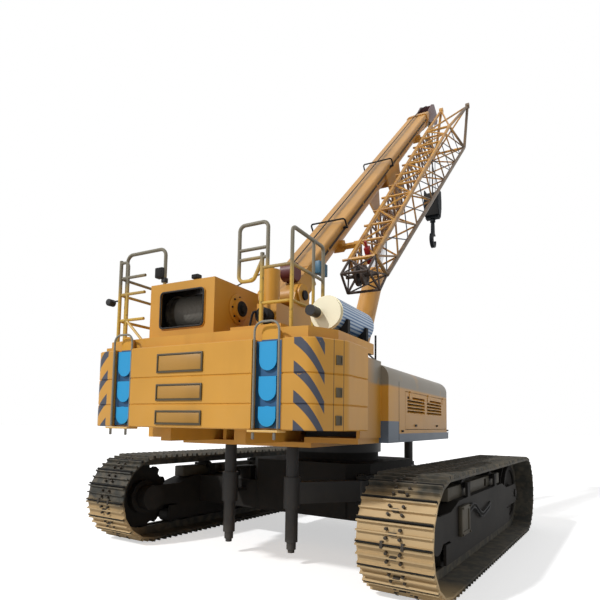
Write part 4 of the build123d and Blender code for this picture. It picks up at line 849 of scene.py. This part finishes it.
# %% Foot frame, sheave and bracket of the jib
JIB_FOOT = (
    # x, along and above for the corners of the foot frame: upper left, upper right, lower right, lower left
    (0.560, 1.20, -0.105), (0.960, 1.20, -0.105), (1.010, 1.335, -0.485), (0.510, 1.335, -0.485),
)
tips = [(x, along - 0.42, above - 0.02) for x, along, above in JIB_FOOT]
bars = []
for i, (start, end) in enumerate(zip(JIB_FOOT, tips)):
    after = (i + 1) % 4
    bars.append(pipe([on_boom(*start), on_boom(*end)], 0.020, 0))
    bars.append(pipe([on_boom(*end), on_boom(*tips[after])], 0.020, 0))
    bars.append(pipe([on_boom(*start), on_boom(*tips[after])], 0.013, 0))
    bars.append(pipe([on_boom(*JIB_FOOT[after]), on_boom(*end)], 0.013, 0))
settle("jib_foot_frame", bars, "foot_dark", "boom", 50)
wheels = []
for x in (0.70, 0.80):
    wheel = disc(on_boom(x, 1.02, -0.30), (1, 0, 0), 0.150, 0.040, 0.006, 32)
    for outwards in (-1, 1):
        pick(wheel, lambda middle, normal: normal.x * outwards > 0.99)
        bpy.ops.mesh.inset(thickness=0.040)
        bpy.ops.mesh.extrude_region_move(TRANSFORM_OT_translate={"value": (-0.010 * outwards, 0, 0)})
        bpy.ops.object.mode_set(mode="OBJECT")
    wheels.append(wheel)
axle = disc(on_boom(0.76, 1.02, -0.30), (1, 0, 0), 0.028, 0.50, 0.004, 16)
settle("jib_foot_sheaves", wheels + [axle], "foot_dark", "boom")
bracket = box_between((0.74, -0.05, -0.16), (0.82, 0.05, 0.10), 0.010)
pick(bracket, lambda middle, normal: normal.z > 0.99)
bpy.ops.mesh.inset(thickness=0.016)
bpy.ops.mesh.extrude_region_move(TRANSFORM_OT_translate={"value": (0, 0, 0.09)})
bpy.ops.object.mode_set(mode="OBJECT")
bracket.matrix_world = (Matrix.Translation(on_boom(0, 1.42, -0.14))
                        @ Matrix.Rotation(asin(BOOM_ALONG.z), 4, "X"))
settle("jib_pin_bracket", [bracket], "red_paint", "boom")

# %% [markdown]
# ## Fine lacing of the jib
# The lattice has thin bars between its main ones: close crosses on the side
# towards the boom, a zigzag underneath and crossed wires on the outer side. The
# four chords run straight, so a bar's ends are found by a share of their length.

# %% Crossed bars, zigzag and wires
CHORDS = {
    # x, along and above at the foot, then the same at the tip
    "upper left": ((0.560, 1.200, -0.105), (0.355, 8.310, -0.095)),
    "upper right": ((0.960, 1.200, -0.105), (0.900, 8.310, -0.095)),
    "lower right": ((1.010, 1.335, -0.485), (1.100, 8.760, -0.770)),
    "lower left": ((0.510, 1.335, -0.485), (0.380, 8.760, -0.770)),
}
LACING = (
    # one chord, the other chord, bays, radius, finish, crossed
    ("upper left", "lower left", 22, 0.019, "lace_brown", True),
    ("lower left", "lower right", 11, 0.015, "lace_brown", False),
    ("upper right", "lower right", 11, 0.009, "lace_dark", True),
)


def chord_point(chord, share):
    """A point of a chord, by the share of its length from the foot."""
    foot, tip = (Vector(end) for end in CHORDS[chord])
    return on_boom(*foot.lerp(tip, share))


for one, other, bays, radius, finish, crossed in LACING:
    bars = []
    for i in range(bays):
        near, far = i / bays, (i + 1) / bays
        pairs = [(one, other), (other, one)]
        for start, end in pairs if crossed else pairs[i % 2:i % 2 + 1]:
            bars.append(pipe([chord_point(start, near), chord_point(end, far)], radius, 0))
    settle("lacing_" + one.replace(" ", "_") + "_to_" + other.replace(" ", "_"), bars, finish, "boom", 60)

# %% [markdown]
# ## Hoist rope over the boom
# The rope leaves the top of the drum, passes the reel at the boom's foot and runs
# along the boom to its head. It is taut, so it is one thin tube for each stretch.
# The sections slide out of one another. The stretch over each section's end and
# the stretch between the drum and the reel are fixed in place and ride on no body.

# %% Rope stretches
ROPE_ABOVE = 0.235
# name, start and end along the boom, body at the start, body at the end
STRETCHES = (
    ("rope_over_base", 0.45, 9.05, "boom", "boom"),
    ("rope_over_end_2", 9.05, 9.28, "boom", "section_2"),
    ("rope_over_end_3", 9.28, 9.45, "section_2", "section_3"),
    ("rope_over_end_4", 9.45, 9.62, "section_3", "section_4"),
)
drum_top = DRUM_AXLE + Vector((0.17, 0.05, WOUND_R))
over_reel = on_boom(0, 0.20, ROPE_ABOVE + 0.16)
lead = pipe([drum_top, over_reel], ROPE, 0)
settle("rope_lead", [lead], "rope_dark", None, 60)
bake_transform(lead)
bend = pipe([over_reel, on_boom(0, 0.45, ROPE_ABOVE)], ROPE, 0)
settle("rope_bend", [bend], "rope_dark", "boom", 60)
for name, start, end, near, far in STRETCHES:
    stretch = pipe([on_boom(0, start, ROPE_ABOVE), on_boom(0, end, ROPE_ABOVE)], ROPE, 0)
    if near == far:
        settle(name, [stretch], "rope_dark", near, 60)
    else:
        settle(name, [stretch], "rope_dark", None, 60)
        on_boom(0, start, ROPE_ABOVE)
        on_boom(0, end, ROPE_ABOVE)
        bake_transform(stretch)
# over the head's cross bar and down into the groove of a head sheave
OVER_BAR = on_boom(0.01, 10.30, 0.160)
IN_GROOVE = on_boom(0.0215, 10.607, -0.105)
drop = pipe([on_boom(0, STRETCHES[-1][2], ROPE_ABOVE), OVER_BAR, IN_GROOVE], ROPE, 0.05)
settle("rope_over_head", [drop], "rope_dark", "section_4", 60)

# %% [markdown]
# ## Guards of the hook block
# The block is closed front and back by a dark plate between its two side plates,
# over most of its height.

# %% Guard plates
BLOCK_LOW, BLOCK_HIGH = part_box("hook_block")
BLOCK_MIDDLE = (BLOCK_LOW + BLOCK_HIGH) / 2
guards = [box_between((BLOCK_LOW.x + 0.012, BLOCK_MIDDLE.y + y - 0.005, BLOCK_LOW.z + 0.06),
                      (BLOCK_HIGH.x - 0.012, BLOCK_MIDDLE.y + y + 0.005, BLOCK_HIGH.z - 0.10), 0.003)
          for y in (-0.15, 0.15)]
settle("block_guards", guards, "black_paint", "hook_block")

# %% [markdown]
# ## Boom fittings
# A hose pair runs along the right side of the base section in clips, and a small
# blue grease box is bolted beside the foot.

# %% Hoses and clips on the boom
HALF_WIDTH = 0.240
hoses = [pipe([on_boom(HALF_WIDTH + 0.014, 1.0, above), on_boom(HALF_WIDTH + 0.014, 8.95, above)], 0.007, 0)
         for above in (0.080, 0.060)]
settle("boom_hoses", hoses, "rubber", "boom", 60)
clips = []
for i in range(9):
    along = 1.25 + i * 0.93
    clip = box_between((HALF_WIDTH - 0.002, -0.016, -0.024), (HALF_WIDTH + 0.024, 0.016, 0.024), 0.003)
    clip.matrix_world = (Matrix.Translation(on_boom(0, along, 0.070))
                         @ Matrix.Rotation(asin(BOOM_ALONG.z), 4, "X"))
    clips.append(clip)
settle("hose_clips", clips, "boom_paint", "boom")
grease_box = box_between((HALF_WIDTH - 0.01, -0.13, -0.09), (HALF_WIDTH + 0.075, 0.13, 0.09), 0.010)
grease_box.matrix_world = Matrix.Translation(on_boom(0.04, 0.72, 0.02))
settle("grease_box", [grease_box], "light_blue", "boom")

# %% [markdown]
# ## Hood fittings
# The hood and its door have small black latches. A thin seam shows where the
# panels meet, and an aerial rod with a cable tied to it stands on the roof.

# %% Latches, seams and rod
SIDE_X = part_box("engine_hood")[1].x
latches = [box_between((SIDE_X - 0.004, y - 0.035, 1.632), (SIDE_X + 0.012, y + 0.035, 1.656), 0.004)
           for y in (-1.45, 0.97)]
seams = [box_between((SIDE_X - 0.004, y - 0.004, 1.53), (SIDE_X + 0.0015, y + 0.004, 2.24), 0.001)
         for y in (HOOD_SPLIT,)]
settle("hood_latches", latches + seams, "dark_gap", "superstructure")
door_latches = [box_between((SIDE_X - 0.002, y - 0.04, 1.700), (SIDE_X + 0.012, y + 0.04, 1.728), 0.004)
                for y in (-0.87, 0.26)]
settle("door_latches", door_latches, "dark_gap", "hood_door")
rod = pipe([(1.43, -2.0, 2.36), (1.43, -2.0, 2.74)], 0.012, 0)
cable = pipe([(1.42, -2.62, 2.60), (1.44, -2.30, 2.50), (1.43, -2.0, 2.45)], 0.009, 0.1)
settle("aerial_rod", [rod, cable], "rubber", "superstructure", 60)

# %% [markdown]
# ## Valve block beside the winch
# On the stand at the right of the winch sits a dark hydraulic motor with its
# hoses. It is a short drum with a stepped end.

# %% Motor and hoses on the valve stand
motor = disc((0.30, -2.60, 2.95), (0, 1, 0), 0.095, 0.16, 0.012)
pick(motor, lambda middle, normal: normal.y < -0.99)
bpy.ops.mesh.inset(thickness=0.03)
bpy.ops.mesh.extrude_region_move(TRANSFORM_OT_translate={"value": (0, -0.05, 0)})
bpy.ops.object.mode_set(mode="OBJECT")
hoses = [pipe([(0.30 + dx, -2.62, 2.95 + dz), (0.30 + dx, -2.78, 2.95 + dz), (0.30 + 2 * dx, -2.80, 2.66)],
              0.014, 0.06) for dx, dz in ((-0.05, 0.03), (0.05, 0.0))]
settle("swing_motor", [motor] + hoses, "black_paint", "superstructure", 50)

# %% [markdown]
# ## Floor, light and camera
# The floor is a plain pale sheet. It glows a little by itself, so it stays
# white in the open and still shows the crane's shadow. The sky is white where
# the camera, a mirror or glass looks at it, and softer where it only gives light.

# %% Floor and sky
bpy.ops.mesh.primitive_plane_add(size=240, location=(0, 0, -0.001))
floor = bpy.context.object
floor.name = "floor"
pale = bpy.data.materials.new("pale_floor")
pale.use_nodes = True
floor_tree = pale.node_tree
floor_tree.nodes["Principled BSDF"].inputs["Base Color"].default_value = (0.85, 0.85, 0.85, 1)
floor_tree.nodes["Principled BSDF"].inputs["Roughness"].default_value = 1.0
floor_tree.nodes["Principled BSDF"].inputs["Emission Color"].default_value = (1, 1, 1, 1)
FLOOR_GLOW = 0.55
floor_wire = Wire(floor_tree, floor_tree.nodes.new("ShaderNodeLightPath").outputs["Is Camera Ray"])
glow = floor_wire * FLOOR_GLOW
floor_tree.links.new(glow.socket, floor_tree.nodes["Principled BSDF"].inputs["Emission Strength"])
floor.data.materials.append(pale)

SKY_LIGHT = 0.38
sky = bpy.data.worlds.new("sky")
scene.world = sky
sky.use_nodes = True
sky_tree = sky.node_tree
ray = sky_tree.nodes.new("ShaderNodeLightPath")
camera_ray, glossy_ray, clear_ray = (Wire(sky_tree, ray.outputs[n]) for n in (
    "Is Camera Ray", "Is Glossy Ray", "Is Transmission Ray"))
seen = camera_ray.maths("MAXIMUM", camera_ray.maths("MAXIMUM", camera_ray, glossy_ray), clear_ray)
strength = seen * (1 - SKY_LIGHT) + SKY_LIGHT
sky_tree.nodes["Background"].inputs["Color"].default_value = (1, 1, 1, 1)
sky_tree.links.new(strength.socket, sky_tree.nodes["Background"].inputs["Strength"])

# %% [markdown]
# A low sun from behind the camera's left lights the rear of the crane, and
# leaves its right flank in soft shade, as late in the day.

# %% Lamps
SUNS = (
    # name, strength, degrees from straight down, degrees round from the rear, spread in degrees
    ("sun", 2.15, 52, -28, 3),
    ("fill", 0.06, 60, 75, 40),
)
for name, power, lean, turn, spread in SUNS:
    bpy.ops.object.light_add(type="SUN", location=(0, 0, 20))
    lamp = bpy.context.object
    lamp.name = name
    lamp.data.energy = power
    lamp.data.angle = radians(spread)
    lamp.rotation_euler = (radians(lean), 0, radians(turn))

# %% [markdown]
# The camera stands behind the crane's right corner at eye height, tipped up a
# little. Its lens is wide, and a small shift keeps the uprights as they look on
# the spot.

# %% Camera
CAMERA_AT = (3.461, -7.515, 1.71)
CAMERA_TURN, CAMERA_TILT, CAMERA_ROLL = 28.656, 4.891, 0.932
camera = bpy.data.objects.new("camera", bpy.data.cameras.new("camera"))
scene.collection.objects.link(camera)
turned = Matrix.Rotation(radians(CAMERA_TURN), 4, "Z") @ Matrix.Rotation(radians(90 + CAMERA_TILT), 4, "X")
camera.matrix_world = (Matrix.Translation(CAMERA_AT) @ turned
                       @ Matrix.Rotation(radians(CAMERA_ROLL), 4, "Z"))
camera.data.sensor_width = 36
camera.data.lens = 30.605
camera.data.shift_y = 0.1339
camera.data.clip_end = 500
scene.camera = camera
scene.view_settings.view_transform = "Standard"
print("camera at", CAMERA_AT)
